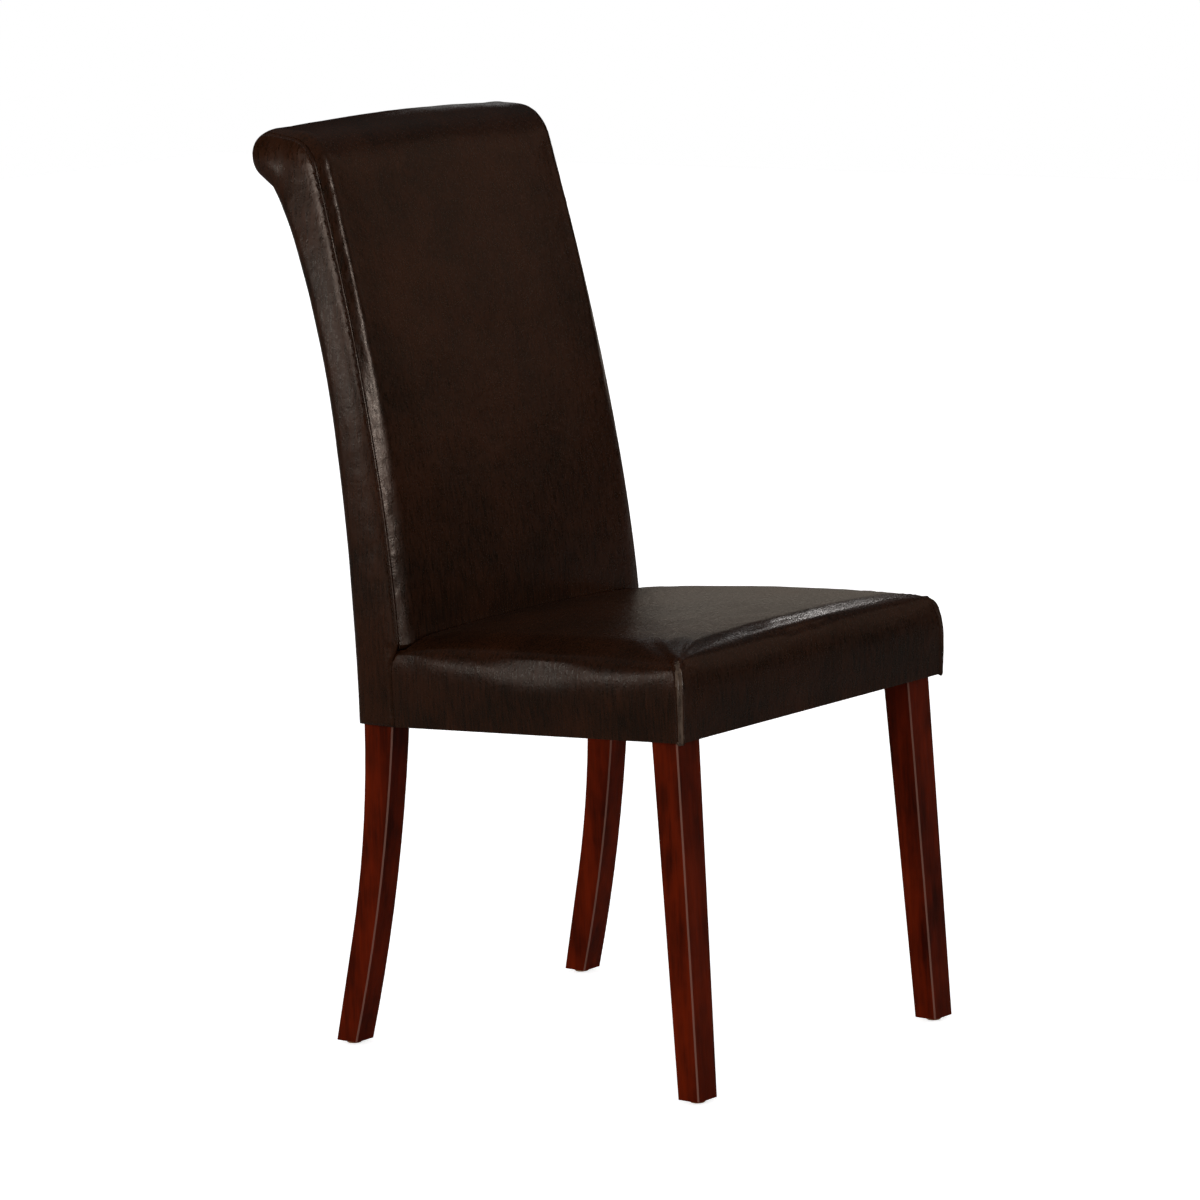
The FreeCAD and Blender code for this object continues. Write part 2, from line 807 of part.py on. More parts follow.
def post_middle(z):
    """Half the distance between the middles of the two posts at a height."""
    return rear_foot_out - S.post_width / 2 - z * tangent(S.post_cant)


lower_place = seam_point(1, S.lower_rail_rise, head_inset)
lower_rail = back_board("back_rail_lower", lower_place, S.lower_rail_width, S.back_rail_thickness,
                        post_middle(lower_place[1]), [rear_right, rear_left_post])
crest_place = seam_point(3, S.neck_run - S.crest_rail_drop, head_inset)
crest_rail = back_board("back_rail_crest", crest_place, S.crest_rail_width, S.back_rail_thickness,
                        post_middle(crest_place[1]), [rear_right, rear_left_post])


def build_scroll_rail():
    """Round pole through the middle of the roll, from post to post."""
    y, z = roll_centre()
    body = new_body("scroll_rail_body")
    sketch = circle_sketch(body, "scroll_rail_circle", "YZ_Plane", y, z, S.roll_radius - head_inset)
    pad(body, "scroll_rail_pad", sketch, post_middle(z) * 2, True)
    return coped("scroll_rail", body, [rear_right, rear_left_post])


scroll_rail = build_scroll_rail()


def partial(profile, first, last, inset):
    """Corners and arcs of some moves of a profile."""
    corners, arcs = trace(profile, inset)
    chosen = {index - first: arc for index, arc in arcs.items() if first <= index < last}
    return corners[first:last + 1], chosen


def build_scroll_board():
    """Bent board that carries the foam over the crest rail and round the roll."""
    near = head_inset - S.board_gap
    outer = partial(SEAM, 4, 8, near - S.board_thickness)
    inner = partial(SEAM, 4, 8, near)
    return side_pad("scroll_board", join(outer, reverse(*inner)), half_back(roll_centre()[1]) * 2 - S.post_width)


scroll_board = build_scroll_board()


def build_back_webbing():
    """Straps stapled across the fronts of the rear posts."""
    straps = []
    for number in range(BACK_STRAPS):
        along = S.back_strap_first + S.back_strap_pitch * number
        lumbar = S.lumbar_radius.value * math.radians(S.lumbar_turn.value)
        move, rest = (1, along) if along.value < lumbar else (2, along - lumbar)
        y, z, lean = seam_point(move, rest, head_inset)
        face = (y - S.strap_thickness * cosine(lean), z + S.strap_thickness * sine(lean), lean)
        half = post_middle(z) + S.post_width / 3
        straps.append(back_board("back_strap_%d" % number, face, S.back_strap_width,
                                 S.strap_thickness, half, []))
    return grouped("back_webbing_group", straps)


back_webbing = build_back_webbing()


# Seat webbing, woven over and under

strap_rise = S.strap_thickness + S.strap_weave_gap
rail_top = S.leather + S.rail_height


def strap_levels(number, crossings):
    """Whether a strap lies on top at each of its crossings."""
    return [(number + crossing) % 2 == 0 for crossing in range(crossings)]


def cross_strap_middle(number):
    return S.cross_strap_pitch * number - S.cross_strap_first


def bed_height(y):
    """Height of the rail tops at a distance along the chair."""
    y = y if y.value < seat_aft.value else seat_aft
    return under_seat(y) + rail_top


def thick_line(points):
    """Closed outline of a strap from the points along its lower face."""
    return points + [(u, v + S.strap_thickness) for u, v in reversed(points)], {}


def build_long_strap(number):
    """Strap from the front rail to the rear rail."""
    fore, aft = S.strap_end - front_leg_fore, S.back_aft - S.side_cover - S.strap_end
    points = [(fore, bed_height(fore))]
    for crossing, raised in enumerate(strap_levels(number, SEAT_STRAPS)):
        middle = cross_strap_middle(crossing)
        for y in (middle - S.strap_width / 2, middle + S.strap_width / 2):
            points.append((y, bed_height(y) + (strap_rise if raised else nil)))
    points += [(seat_aft, bed_height(seat_aft)), (aft, bed_height(aft))]
    offset = S.long_strap_pitch * (number - SEAT_STRAPS // 2)
    return side_pad("long_strap_%d" % number, thick_line(points), S.strap_width, None, offset)


def build_cross_strap(number):
    """Strap from side rail to side rail, laid along the slope of the rails."""
    fore = cross_strap_middle(number) - S.strap_width / 2
    level = bed_height(fore)
    half = frame_half(fore + S.strap_width) - S.strap_end
    points = [(-half, level)]
    for crossing in range(SEAT_STRAPS):
        raised = not strap_levels(crossing, SEAT_STRAPS)[number]
        middle = S.long_strap_pitch * (crossing - SEAT_STRAPS // 2)
        for x in (middle - S.strap_width / 2, middle + S.strap_width / 2):
            points.append((x, level + (strap_rise if raised else nil)))
    points.append((half, level))
    name = "cross_strap_%d" % number
    body = new_body(name)
    sketch = outline_sketch(body, name + "_outline", "XZ_Plane", thick_line(points), -fore)
    strap = pad(body, name + "_pad", sketch, S.strap_width)
    slope = (S.seat_under_rear - S.seat_under_front) / (seat_aft + S.seat_fore)
    strap.UseCustomVector = True
    strap.Direction = FreeCAD.Vector(0, 1, slope.value)
    return body


long_straps = grouped("long_straps", [build_long_strap(number) for number in range(SEAT_STRAPS)])
cross_straps = grouped("cross_straps", [build_cross_strap(number) for number in range(SEAT_STRAPS)])


# Seat upholstery

FRONT_STEPS = 5
LONG_STEPS = 4
QUARTER_TURN = math.pi / 2


def numbers(*sizes):
    return [size.value for size in sizes]


def seat_section(y, half, low, edge, crown, radius):
    """One slice across the seat: flat below, rounded at both shoulders, crowned on top."""
    lean = 2 * math.atan(crown / (half - radius))
    inner = half - radius + radius * math.sin(lean)
    side_top = edge - radius * math.cos(lean)
    middle = (QUARTER_TURN - lean) / 2

    def at(x, z):
        return FreeCAD.Vector(x, y, z)

    shoulder = [at(-half, side_top),
                at(-half + radius - radius * math.cos(middle), side_top + radius * math.sin(middle)),
                at(-inner, edge)]
    top = at(0, edge + inner * math.tan(lean / 2))
    other = [at(-point.x, point.z) for point in shoulder]
    edges = [Part.LineSegment(at(half, low), at(-half, low)).toShape(),
             Part.LineSegment(at(-half, low), shoulder[0]).toShape(),
             Part.Arc(*shoulder).toShape(),
             Part.Arc(shoulder[2], top, other[2]).toShape(),
             Part.Arc(other[2], other[1], other[0]).toShape(),
             Part.LineSegment(other[0], at(half, low)).toShape()]
    return Part.Wire(edges)


def seat_form(name, inset, below, behind):
    """The padded seat box moved in by an inset, with its lower face and its rear face set apart."""
    fore, soft, dip, aft = numbers(S.seat_fore, S.seat_front_soft, S.seat_front_dip, seat_aft + behind)
    radius, crown, inset, below = numbers(S.seat_edge_radius, S.seat_crown, inset, below)
    reach = fore + aft - soft
    bends = [QUARTER_TURN * step / FRONT_STEPS for step in range(FRONT_STEPS + 1)]
    places = [(soft * (1 - math.cos(bend)) + inset, dip * (1 - math.sin(bend))) for bend in bends]
    wires = []
    shares = [step * step / LONG_STEPS ** 2 for step in range(1, LONG_STEPS + 1)]
    places += [(soft + reach * share, 0) for share in shares]
    for place, sunk in places:
        y = Size(place - fore)
        low, side, half = numbers(under_seat(y), seat_side_height(y), seat_half(y))
        wires.append(seat_section(y.value, half - inset, low + below,
                                  low + side - sunk - inset, crown, radius - inset))
    return feature_of(name, Part.makeLoft(wires, True, True))


def plan_trapezoid(inset, aft):
    """The seat's plan outline moved in from its edges, as far back as given."""
    fore = inset - S.seat_fore
    return sharp_quad((inset - seat_half(fore), fore), (seat_half(fore) - inset, fore),
                      (seat_half(aft) - inset, aft), (inset - seat_half(aft), aft))


cover_gap = S.leather + S.clearance
foam_rise = rail_top + strap_rise * 2 + S.clearance
seat_outside = seat_form("seat_outside", nil, nil, nil)
seat_inside = seat_form("seat_inside", S.leather, S.leather, S.overrun)
seat_filling = seat_form("seat_filling", cover_gap, S.leather, nil)
seat_space = seat_form("seat_space", -S.clearance, nil, nil)

leg_space = plan_pad("leg_space", sharp_quad(
    (-front_leg_out - S.clearance, -front_leg_fore - S.clearance),
    (S.clearance - leg_inner, -front_leg_fore - S.clearance),
    (S.clearance - leg_inner, leg_back + S.clearance),
    (-front_leg_out - S.clearance, leg_back + S.clearance)), slab_low, slab_high)
leg_space_twin = mirrored("leg_space_twin", leg_space)

hem_layer = bed_layer("hem_layer", -S.overrun, S.leather * 2)
hem_window = layered("hem_window", plan_trapezoid(S.hem_width, seat_aft + S.overrun), hem_layer, [])
seat_cover = coped("seat_cover", seat_outside, [seat_inside, hem_window, leg_space, leg_space_twin])

foam_layer = bed_layer("foam_layer", foam_rise, foam_rise * 2)
seat_foam = boolean("Common", "seat_foam_block", seat_filling, foam_layer)

wadding_layer = bed_layer("wadding_layer", cover_gap, foam_rise - S.clearance)
wadding_band = boolean("Common", "wadding_band", seat_filling, wadding_layer)
wadding_aft = seat_aft + S.overrun
frame_block = plan_pad("frame_block", sharp_quad(
    (-front_leg_out, -front_leg_fore), (front_leg_out, -front_leg_fore),
    (front_leg_out, leg_back), (frame_half(wadding_aft), wadding_aft),
    (-frame_half(wadding_aft), wadding_aft), (-front_leg_out, leg_back)), slab_low, slab_high)
border_wadding = coped("seat_border_wadding", wadding_band, [frame_block])

dust_layer = bed_layer("dust_layer", -S.dust_cover, nil)
dust_side = post_front - S.clearance
dust_aft = S.back_aft - S.dust_inset
dust_inner = post_inner - S.clearance
dust_outer = seat_half(dust_side) - S.dust_inset
dust_fore = S.dust_inset - S.seat_fore
dust_front = seat_half(dust_fore) - S.dust_inset
dust_cover = layered("dust_cover", sharp_quad(
    (-dust_front, dust_fore), (dust_front, dust_fore), (dust_outer, dust_side), (dust_inner, dust_side),
    (dust_inner, dust_aft), (-dust_inner, dust_aft), (-dust_inner, dust_side), (-dust_outer, dust_side)),
    dust_layer, [leg_space, leg_space_twin])


# Back upholstery

BACK_STEPS = (1, 3, 4, 1, 4, 1, 9, 1)
EIGHTH_TURN = math.pi / 4


def back_section(place, half, bulge, depth):
    """One slice across the back's padding: rounded at both seams, crowned, flat behind."""
    y, z, lean = place
    run, crown = numbers(S.back_edge_run, S.back_crown)
    upright = math.radians(lean)
    normal = FreeCAD.Vector(0, -math.cos(upright), math.sin(upright))

    def at(x, out):
        return FreeCAD.Vector(x, y, z) + normal * out

    side = half - run * (1 - math.cos(EIGHTH_TURN))
    shoulder = bulge * math.sin(EIGHTH_TURN)
    return Part.Wire([
        Part.Arc(at(-half, 0), at(-side, shoulder), at(run - half, bulge)).toShape(),
        Part.Arc(at(run - half, bulge), at(0, bulge + crown), at(half - run, bulge)).toShape(),
        Part.Arc(at(half - run, bulge), at(side, shoulder), at(half, 0)).toShape(),
        Part.LineSegment(at(half, 0), at(half, -depth)).toShape(),
        Part.LineSegment(at(half, -depth), at(-half, -depth)).toShape(),
        Part.LineSegment(at(-half, -depth), at(-half, 0)).toShape()])


def back_form(name, inset, depth):
    """Padding of the back from the seat over the top and round the roll, moved in by an inset."""
    full, rolled, inset, depth = numbers(S.back_bulge, S.roll_bulge, inset, depth)
    places = stations(SEAM, BACK_STEPS)
    start = sum(BACK_STEPS[:6])
    wires = []
    for index, place in enumerate(places):
        share = max(index - start, 0) / (len(places) - 1 - start)
        bulge = full + (rolled - full) * share - inset
        wires.append(back_section(place, half_back(Size(place[1])).value - inset, bulge, depth))
    return feature_of(name, Part.makeLoft(wires, True, True))


back_outside = back_form("back_outside", nil, S.clearance)
back_inside = back_form("back_inside", S.leather, S.overrun)
inside_back_cover = coped("inside_back_cover", back_outside, [back_inside, seat_space])
foam_depth = head_inset - S.board_gap - S.board_thickness - S.clearance * 2
back_foam = coped("back_foam", back_form("back_filling", cover_gap, foam_depth), [seat_space])


def build_side_panel():
    """Boxing of the back between the front seam and the rear seam, flat against the post."""
    front = trace(SEAM, S.clearance * 3)
    rear = trace(REAR, -cover_gap)
    step = seat_aft + S.clearance
    low = ([(step, S.seat_under_rear), (step, S.seam_low)], {})
    panel = side_pad("side_panel", join(low, front, reverse(*rear)), S.leather,
                     S.post_cant, -(rear_foot_out + S.side_cover), False)
    return coped("side_panel", panel, [seat_space])


def build_side_wadding():
    """Thin wadding between a post and the boxing of the back."""
    front = trace(SEAM, head_inset)
    rear = trace(REAR, -(S.side_cover + S.clearance))
    low = ([(seat_aft + S.overrun, S.seat_under_rear + S.leather)], {})
    inner = S.side_cover - S.leather - S.clearance
    return side_pad("side_wadding", join(low, front, reverse(*rear)), inner - S.clearance,
                    S.post_cant, -(rear_foot_out + inner), False)


def side_bounds(name, inset):
    """Everything between the two canted sides of the back, moved in by an inset."""
    low = S.seat_under_rear - S.overrun
    high = S.seam_low * 3
    body = new_body(name)
    sketch = outline_sketch(body, name + "_outline", "XZ_Plane", sharp_quad(
        (inset - half_back(low), low), (half_back(low) - inset, low),
        (half_back(high) - inset, high), (inset - half_back(high), high)))
    pad(body, name + "_pad", sketch, S.seat_fore * 3, True)
    return body


def rear_sheet(name, near, thick, bounds):
    """A sheet that follows the rear of the back, from the seat up to the crease under the roll."""
    outline = join(trace(REAR, -near), reverse(*trace(REAR, -(near + thick))))
    strip = side_pad(name + "_strip", outline, rear_foot_out * 3)
    return boolean("Common", name + "_sheet", strip, bounds)


side_panel = build_side_panel()
side_wadding = build_side_wadding()
back_bounds = side_bounds("back_bounds", nil)
board_bounds = side_bounds("board_bounds", cover_gap)
outside_board = rear_sheet("outside_back_board", cover_gap, S.side_cover - cover_gap, board_bounds)
rear_hem = side_pad("rear_hem", sharp_quad(
    (S.back_aft - S.hem_width, S.seat_under_rear), (S.back_aft, S.seat_under_rear),
    (S.back_aft, S.seat_under_rear + S.leather), (S.back_aft - S.hem_width, S.seat_under_rear + S.leather)),
    dust_inner * 2)
outside_board = coped("outside_board_foot", outside_board, [rear_hem])
outside_cover = boolean("Fuse", "outside_back_hemmed",
                        rear_sheet("outside_back_cover", nil, S.leather, back_bounds), rear_hem)

for label, piece in (
        ("corner_block_screws", grouped("all_screws", [screws, mirrored("screw_twins", screws)])),
        ("seat_rail_front", front_rail), ("seat_rail_rear", rear_rail),
        ("back_rail_lower", lower_rail), ("back_rail_crest", crest_rail),
        ("scroll_rail", scroll_rail), ("scroll_board", scroll_board), ("back_webbing", back_webbing),
        ("seat_webbing_long", long_straps), ("seat_webbing_cross", cross_straps),
        ("seat_foam", seat_foam), ("seat_border_wadding", border_wadding), ("seat_cover", seat_cover),
        ("dust_cover", dust_cover), ("back_foam", back_foam), ("inside_back_cover", inside_back_cover),
        ("outside_back_board", outside_board), ("outside_back_cover", outside_cover)):
    keep(label, piece)

for label, piece in (
        ("front_leg", front_right), ("rear_post", rear_joined), ("seat_rail", side_rail),
        ("corner_block_front", front_block), ("corner_block_rear", rear_block),
        ("side_panel", side_panel), ("side_wadding", side_wadding)):
    keep(label + "_left", mirrored(label + "_left_twin", piece))
    keep(label + "_right", piece)

doc.recompute()

for item in doc.Objects:
    if "Invalid" in item.State or "Error" in item.State:
        raise ValueError("not built: " + item.Name)

os.makedirs("parts", exist_ok=True)
for label, piece in sorted(nodes.items()):
    if piece.Shape.isNull() or not piece.Shape.isValid():
        raise ValueError("not a sound shape: " + label)
    piece.Shape.exportStep("parts/%s.step" % label)
print("sub-parts:", len(nodes))
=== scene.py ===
# %% [markdown]
# # An upholstered side chair with a rolled top
# The chair has a wooden frame, and everything above the legs is covered in dark brown
# leather-look cloth. The frame comes ready made, and this lesson dresses it: each cover
# is built as a mesh, puffed up as real padding is, and then given its seams, stitches
# and surface. All lengths in the lesson are millimetres until a mesh is made.

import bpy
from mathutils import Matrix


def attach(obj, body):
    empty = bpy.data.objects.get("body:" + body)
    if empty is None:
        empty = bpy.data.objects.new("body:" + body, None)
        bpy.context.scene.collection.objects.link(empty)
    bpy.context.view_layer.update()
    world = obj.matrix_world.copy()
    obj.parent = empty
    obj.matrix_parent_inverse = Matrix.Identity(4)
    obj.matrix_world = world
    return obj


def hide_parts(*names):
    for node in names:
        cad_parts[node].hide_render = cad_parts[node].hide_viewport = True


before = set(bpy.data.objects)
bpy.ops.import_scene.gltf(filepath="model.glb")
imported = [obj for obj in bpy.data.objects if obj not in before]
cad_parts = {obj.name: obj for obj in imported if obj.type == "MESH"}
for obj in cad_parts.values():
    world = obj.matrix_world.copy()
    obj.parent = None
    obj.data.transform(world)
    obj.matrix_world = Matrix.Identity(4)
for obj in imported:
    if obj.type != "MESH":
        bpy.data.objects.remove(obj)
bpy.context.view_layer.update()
print("frame nodes:", len(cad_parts))

# %% [markdown]
# ## Tools for the whole lesson
# Blender keeps lengths in metres, and a mesh is a list of points and a list of faces.
# One function turns points in millimetres into an object, and one places it on the
# chair: it rides on the chair's only body, takes a finish and stands for its CAD nodes.

# %% Mesh and placing helpers
import math

import bmesh
import bpy
import numpy as np
from mathutils import Matrix, Vector, noise
from mathutils.geometry import delaunay_2d_cdt

MM = 0.001
BODY = "root"


def make_piece(name, points, faces):
    """A smooth object from points in millimetres, with its faces turned outwards."""
    mesh = bpy.data.meshes.new(name)
    mesh.from_pydata([tuple(point) for point in np.asarray(points, float) * MM], [], faces)
    work = bmesh.new()
    work.from_mesh(mesh)
    bmesh.ops.recalc_face_normals(work, faces=work.faces)
    work.to_mesh(mesh)
    work.free()
    mesh.shade_smooth()
    piece = bpy.data.objects.new(name, mesh)
    bpy.context.scene.collection.objects.link(piece)
    return piece


def read(piece, what):
    """One vector for each point of a piece, such as its place or its normal."""
    found = np.zeros(len(piece.data.vertices) * 3)
    piece.data.vertices.foreach_get(what, found)
    return found.reshape(-1, 3)


def places(piece):
    """The points of a piece in millimetres."""
    return read(piece, "co") / MM


def move_to(piece, points):
    piece.data.vertices.foreach_set("co", (points * MM).ravel())
    piece.data.update()


def rim_faces(rim, count):
    """Quads that join the rims of two layers, whose points lie a count apart."""
    return [(i, (i + 1) % rim, count + (i + 1) % rim, count + i) for i in range(rim)]


def two_layers(outer, inner, faces, rim):
    """Points and faces of a closed pad from two like layers that begin with their rims."""
    count = len(outer)
    flipped = [tuple(count + i for i in face[::-1]) for face in faces]
    return np.concatenate([outer, inner]), list(faces) + flipped + rim_faces(rim, count)


def dress(piece, finish, slot, *nodes):
    """Gives a piece its finish, and puts it on the chair in place of the named nodes."""
    piece.data.materials.clear()
    piece.data.materials.append(finish)
    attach(piece, BODY)
    if nodes:
        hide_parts(*nodes)
    print(piece.name, "points:", len(piece.data.vertices))
    return piece


# %% [markdown]
# ## The outlines of the back
# Seen from the side, the back is bounded by two smooth lines. The front one is the seam
# between the front panel and the side panel: it starts at the seat, leans back more and
# more, turns over the top and goes round the roll. The rear one runs from the lower edge
# up to the crease under the roll. A line of straight runs and bends is easy to measure
# on a photograph, so both are written that way and then walked in small steps.

# %% Outlines of the back
SEAM_START = (105.5, 454.0, 4.0)
SEAM_MOVES = [(14.0, 0.0), (1750.0, 5.5), (3060.0, 5.5), (63.0, 0.0),
              (42.0, 67.0), (31.0, 0.0), (26.0, 153.0), (24.0, 0.0)]
REAR_START = (168.0, 368.5, 0.0)
REAR_MOVES = [(2370.0, 8.0), (1000.0, 11.8), (295.0, 10.8)]
WALK_STEP = 0.5


def move_length(size, turn):
    """Length of a straight run, or of a bend with its radius and its turn in degrees."""
    return size * math.radians(turn) if turn else size


def outline(start, moves):
    """Rows of length along, y, z and lean, for a line of straight runs and bends."""
    begun, y, z, lean = 0.0, start[0], start[1], math.radians(start[2])
    rows = [(begun, y, z, lean)]
    for size, turn in moves:
        length = move_length(size, turn)
        turn = math.radians(turn)
        steps = math.ceil(length / WALK_STEP)
        for share in np.arange(1, steps + 1) / steps:
            now = lean + turn * share
            across, up = size * share * math.sin(lean), size * share * math.cos(lean)
            if turn:
                across = size * (math.cos(lean) - math.cos(now))
                up = size * (math.sin(now) - math.sin(lean))
            rows.append((begun + length * share, y + across, z + up, now))
        begun, y, z, lean = rows[-1]
    return np.array(rows)


def along(line, distance):
    """Y, z and lean at distances along an outline."""
    return [np.interp(distance, line[:, 0], line[:, column]) for column in (1, 2, 3)]


seam_line = outline(SEAM_START, SEAM_MOVES)
rear_line = outline(REAR_START, REAR_MOVES)
print("seam", round(seam_line[-1, 0]), "mm, rear line", round(rear_line[-1, 0]), "mm")

# %% [markdown]
# The back also narrows towards its top, because both posts lean inwards a little. Every
# cover of the back asks this one function how wide the back is at its height.

# %% Width of the back
BACK_HALF_AT_FLOOR = 219.2
CANT = math.tan(math.radians(1.2))


def half_back(z):
    return BACK_HALF_AT_FLOOR - z * CANT


def dome(distance, run):
    """Rises from 0 at an edge to 1 at the end of the run, as the side of a cushion does."""
    inside = 1.0 - np.clip(np.asarray(distance, float) / run, 0.0, 1.0)
    return np.sqrt(1.0 - inside ** 2)


def bow(distance, run):
    """Rises like a dome, but starts with a gentle slope, as thin padding does."""
    inside = 1.0 - np.clip(np.asarray(distance, float) / run, 0.0, 1.0)
    return 1.0 - inside ** 2


def ease(share):
    share = np.clip(share, 0.0, 1.0)
    return share * share * (3.0 - 2.0 * share)


print("half width at the seat:", round(half_back(SEAM_START[1]), 1))

# %% [markdown]
# ## Colours and how finishes are made
# A finish is a material whose nodes work out colour, shine and surface at every point.
# The small helper below keeps the recipes short: it adds a node, sets it and joins it
# in one line. Patterns are laid out in the object's own metres, so that they keep their
# real size and never slide when the camera moves.

# %% Finish helper
def paint(red, green, blue):
    """A colour given on the 0 to 255 scale of a screen, as the renderer wants it."""
    shares = [value / 255 for value in (red, green, blue)]
    return (*[s / 12.92 if s <= 0.04045 else ((s + 0.055) / 1.055) ** 2.4 for s in shares], 1.0)


class Recipe:
    """A tree of nodes that is built step by step. Sockets are named with _ for a space."""

    def __init__(self, tree):
        self.tree = tree

    def put(self, socket, value):
        """Sets an input: the output of another node is joined, a plain value written."""
        if isinstance(value, bpy.types.NodeSocket):
            self.tree.links.new(value, socket)
        else:
            socket.default_value = value

    def fill(self, node, values):
        for name, value in values.items():
            self.put(node.inputs[name.replace("_", " ")], value)

    def add(self, kind, settings=None, **values):
        node = self.tree.nodes.new(kind)
        for key, value in (settings or {}).items():
            setattr(node, key, value)
        self.fill(node, values)
        return node.outputs

    def spread(self, value, low, high, start=0.0, end=1.0, way="LINEAR"):
        """Maps a value between low and high onto start and end."""
        node = self.tree.nodes.new("ShaderNodeMapRange")
        node.interpolation_type = way
        for socket, number in zip(node.inputs, (value, low, high, start, end)):
            self.put(socket, number)
        return node.outputs[0]

    def blend(self, share, first, second):
        """Mixes two colours. The node keeps its colour inputs at places 6 and 7."""
        node = self.tree.nodes.new("ShaderNodeMix")
        node.data_type = "RGBA"
        for place, value in ((0, share), (6, first), (7, second)):
            self.put(node.inputs[place], value)
        return node.outputs[2]

    def sums(self, kind, first, second):
        node = self.tree.nodes.new("ShaderNodeMath")
        node.operation = kind
        for socket, value in zip(node.inputs, (first, second)):
            self.put(socket, value)
        return node.outputs[0]

    def weigh(self, *parts):
        """Adds up patterns, each given with its weight."""
        total = self.sums("MULTIPLY", *parts[0])
        for part in parts[1:]:
            total = self.sums("ADD", total, self.sums("MULTIPLY", *part))
        return total


class Finish(Recipe):
    """A material, with its shader and the place on the object as ready parts."""

    def __init__(self, name, **shader_values):
        self.material = bpy.data.materials.new(name)
        self.material.use_nodes = True
        super().__init__(self.material.node_tree)
        self.shader = self.tree.nodes["Principled BSDF"]
        self.fill(self.shader, shader_values)
        self.where = self.add("ShaderNodeTexCoord")["Object"]

    def stretched(self, x, y, z):
        """The place, squeezed along the axes, which stretches a pattern the other way."""
        return self.add("ShaderNodeMapping", Vector=self.where, Scale=(x, y, z))["Vector"]

    def clouds(self, scale, detail=4.0, roughness=0.55, where=None):
        return self.add("ShaderNodeTexNoise", Vector=where or self.where, Scale=scale,
                        Detail=detail, Roughness=roughness)["Fac"]

    def bumps(self, height, depth, strength=1.0):
        """Raises the surface by up to a depth in metres."""
        return self.add("ShaderNodeBump", Height=height, Distance=depth,
                        Strength=strength)["Normal"]

    def two_tone(self, pattern, dark, light, rough, bump=None):
        """A whole plain finish: a pattern between two colours, its roughness and bumps."""
        if isinstance(rough, tuple):
            rough = self.spread(pattern, 0.3, 0.7, *rough)
        raised = {"Normal": self.bumps(*bump)} if bump else {}
        return self.done(Base_Color=self.blend(pattern, paint(*dark), paint(*light)),
                         Roughness=rough, **raised)

    def done(self, **shader_values):
        self.fill(self.shader, shader_values)
        print("finish:", self.material.name)
        return self.material


# %% [markdown]
# ## The leather-look cover
# The cloth is vinyl on a backing: nearly black brown, cloudy in colour, glossy, with a
# fine pebble grain. Slow clouds and fine streaks change the colour, quick flecks the
# gloss, and small cells pressed into the surface make the grain. The same recipe with
# paler colours paints a highlight onto the lips of the corner seams.

# %% Leather finish
def leather_finish(name, dark, light, sheen_tint):
    cover = Finish(name)
    patches = cover.clouds(22.0, 5.0, 0.6)
    shades = cover.clouds(5.0, 3.0, 0.6)
    flecks = cover.clouds(260.0, 3.0, 0.6)
    streaks = cover.clouds(380.0, 3.0, 0.6, cover.stretched(1.0, 1.0, 0.1))
    creased = cover.clouds(170.0, 3.0, 0.6, cover.stretched(1.0, 1.0, 0.35))
    cells = cover.add("ShaderNodeTexVoronoi", {"feature": "SMOOTH_F1"}, Vector=cover.where,
                      Scale=430.0, Smoothness=0.5)["Distance"]
    tone = cover.weigh((streaks, 0.4), (patches, 0.2), (shades, 0.4))
    surface = cover.weigh((cells, 0.08), (creased, 0.2), (patches, 0.9))
    gloss = cover.weigh((flecks, 0.5), (streaks, 0.5))
    return cover.done(Base_Color=cover.blend(cover.spread(tone, 0.41, 0.59), dark, light),
                      Roughness=cover.spread(gloss, 0.38, 0.62, 0.25, 0.34),
                      Normal=cover.bumps(surface, 0.0010), Specular_IOR_Level=0.5,
                      Specular_Tint=sheen_tint)


leather = leather_finish("dark_brown_leather", paint(20, 8, 2), paint(46, 21, 7),
                         (1.0, 0.82, 0.7, 1.0))
# Paler leather that paints a highlight onto the lips of the corner seams.
lip_highlight_leather = leather_finish("painted_lip_highlight_leather", paint(42, 30, 24), paint(92, 76, 64),
                        (1.0, 0.88, 0.8, 1.0))

# %% [markdown]
# ## Sewing thread, dust cloth and the other cover materials
# The thread is a shade lighter than the cover. The dust cloth under the seat is black
# felted cloth with a faint dimpled pattern pressed into it by the machine.

# %% Thread, dust cloth and staple finishes
thread_finish = Finish("brown_thread")
twist = thread_finish.add("ShaderNodeTexWave", Vector=thread_finish.where, Scale=900.0,
                          Distortion=1.0)["Fac"]
thread = thread_finish.two_tone(twist, (35, 22, 16), (58, 40, 31), 0.6)

felt_finish = Finish("black_dust_cloth")
fuzz = felt_finish.clouds(700.0, 4.0, 0.7)
dimples = felt_finish.add("ShaderNodeTexVoronoi", Vector=felt_finish.where,
                          Scale=420.0)["Distance"]
felt = felt_finish.two_tone(fuzz, (14, 14, 15), (40, 40, 42), 0.95,
                            (felt_finish.sums("ADD", dimples, fuzz), 0.0004, 0.5))

staple_finish = Finish("staple_wire", Metallic=1.0)
staple_wire = staple_finish.two_tone(staple_finish.clouds(900.0), (120, 122, 125),
                                     (190, 192, 196), (0.25, 0.45))

# %% [markdown]
# ## Puffing up a cover
# A cover is pressed outwards by the foam under it, and held along its seams and hems.
# That is just what a cloth simulation with air pressure does: some points are pinned,
# and pressure pushes the rest. Real foam stops the cover from swelling far, so a limit
# caps how far any point may move from the cut shape.

# %% Cloth simulation helper
CLOTH_FRAMES = 20
CLOTH_SETTINGS = {"quality": 6, "mass": 0.3, "tension_stiffness": 12.0,
                  "compression_stiffness": 12.0, "shear_stiffness": 6.0,
                  "bending_stiffness": 1.5, "use_pressure": True,
                  "uniform_pressure_force": 4.0}


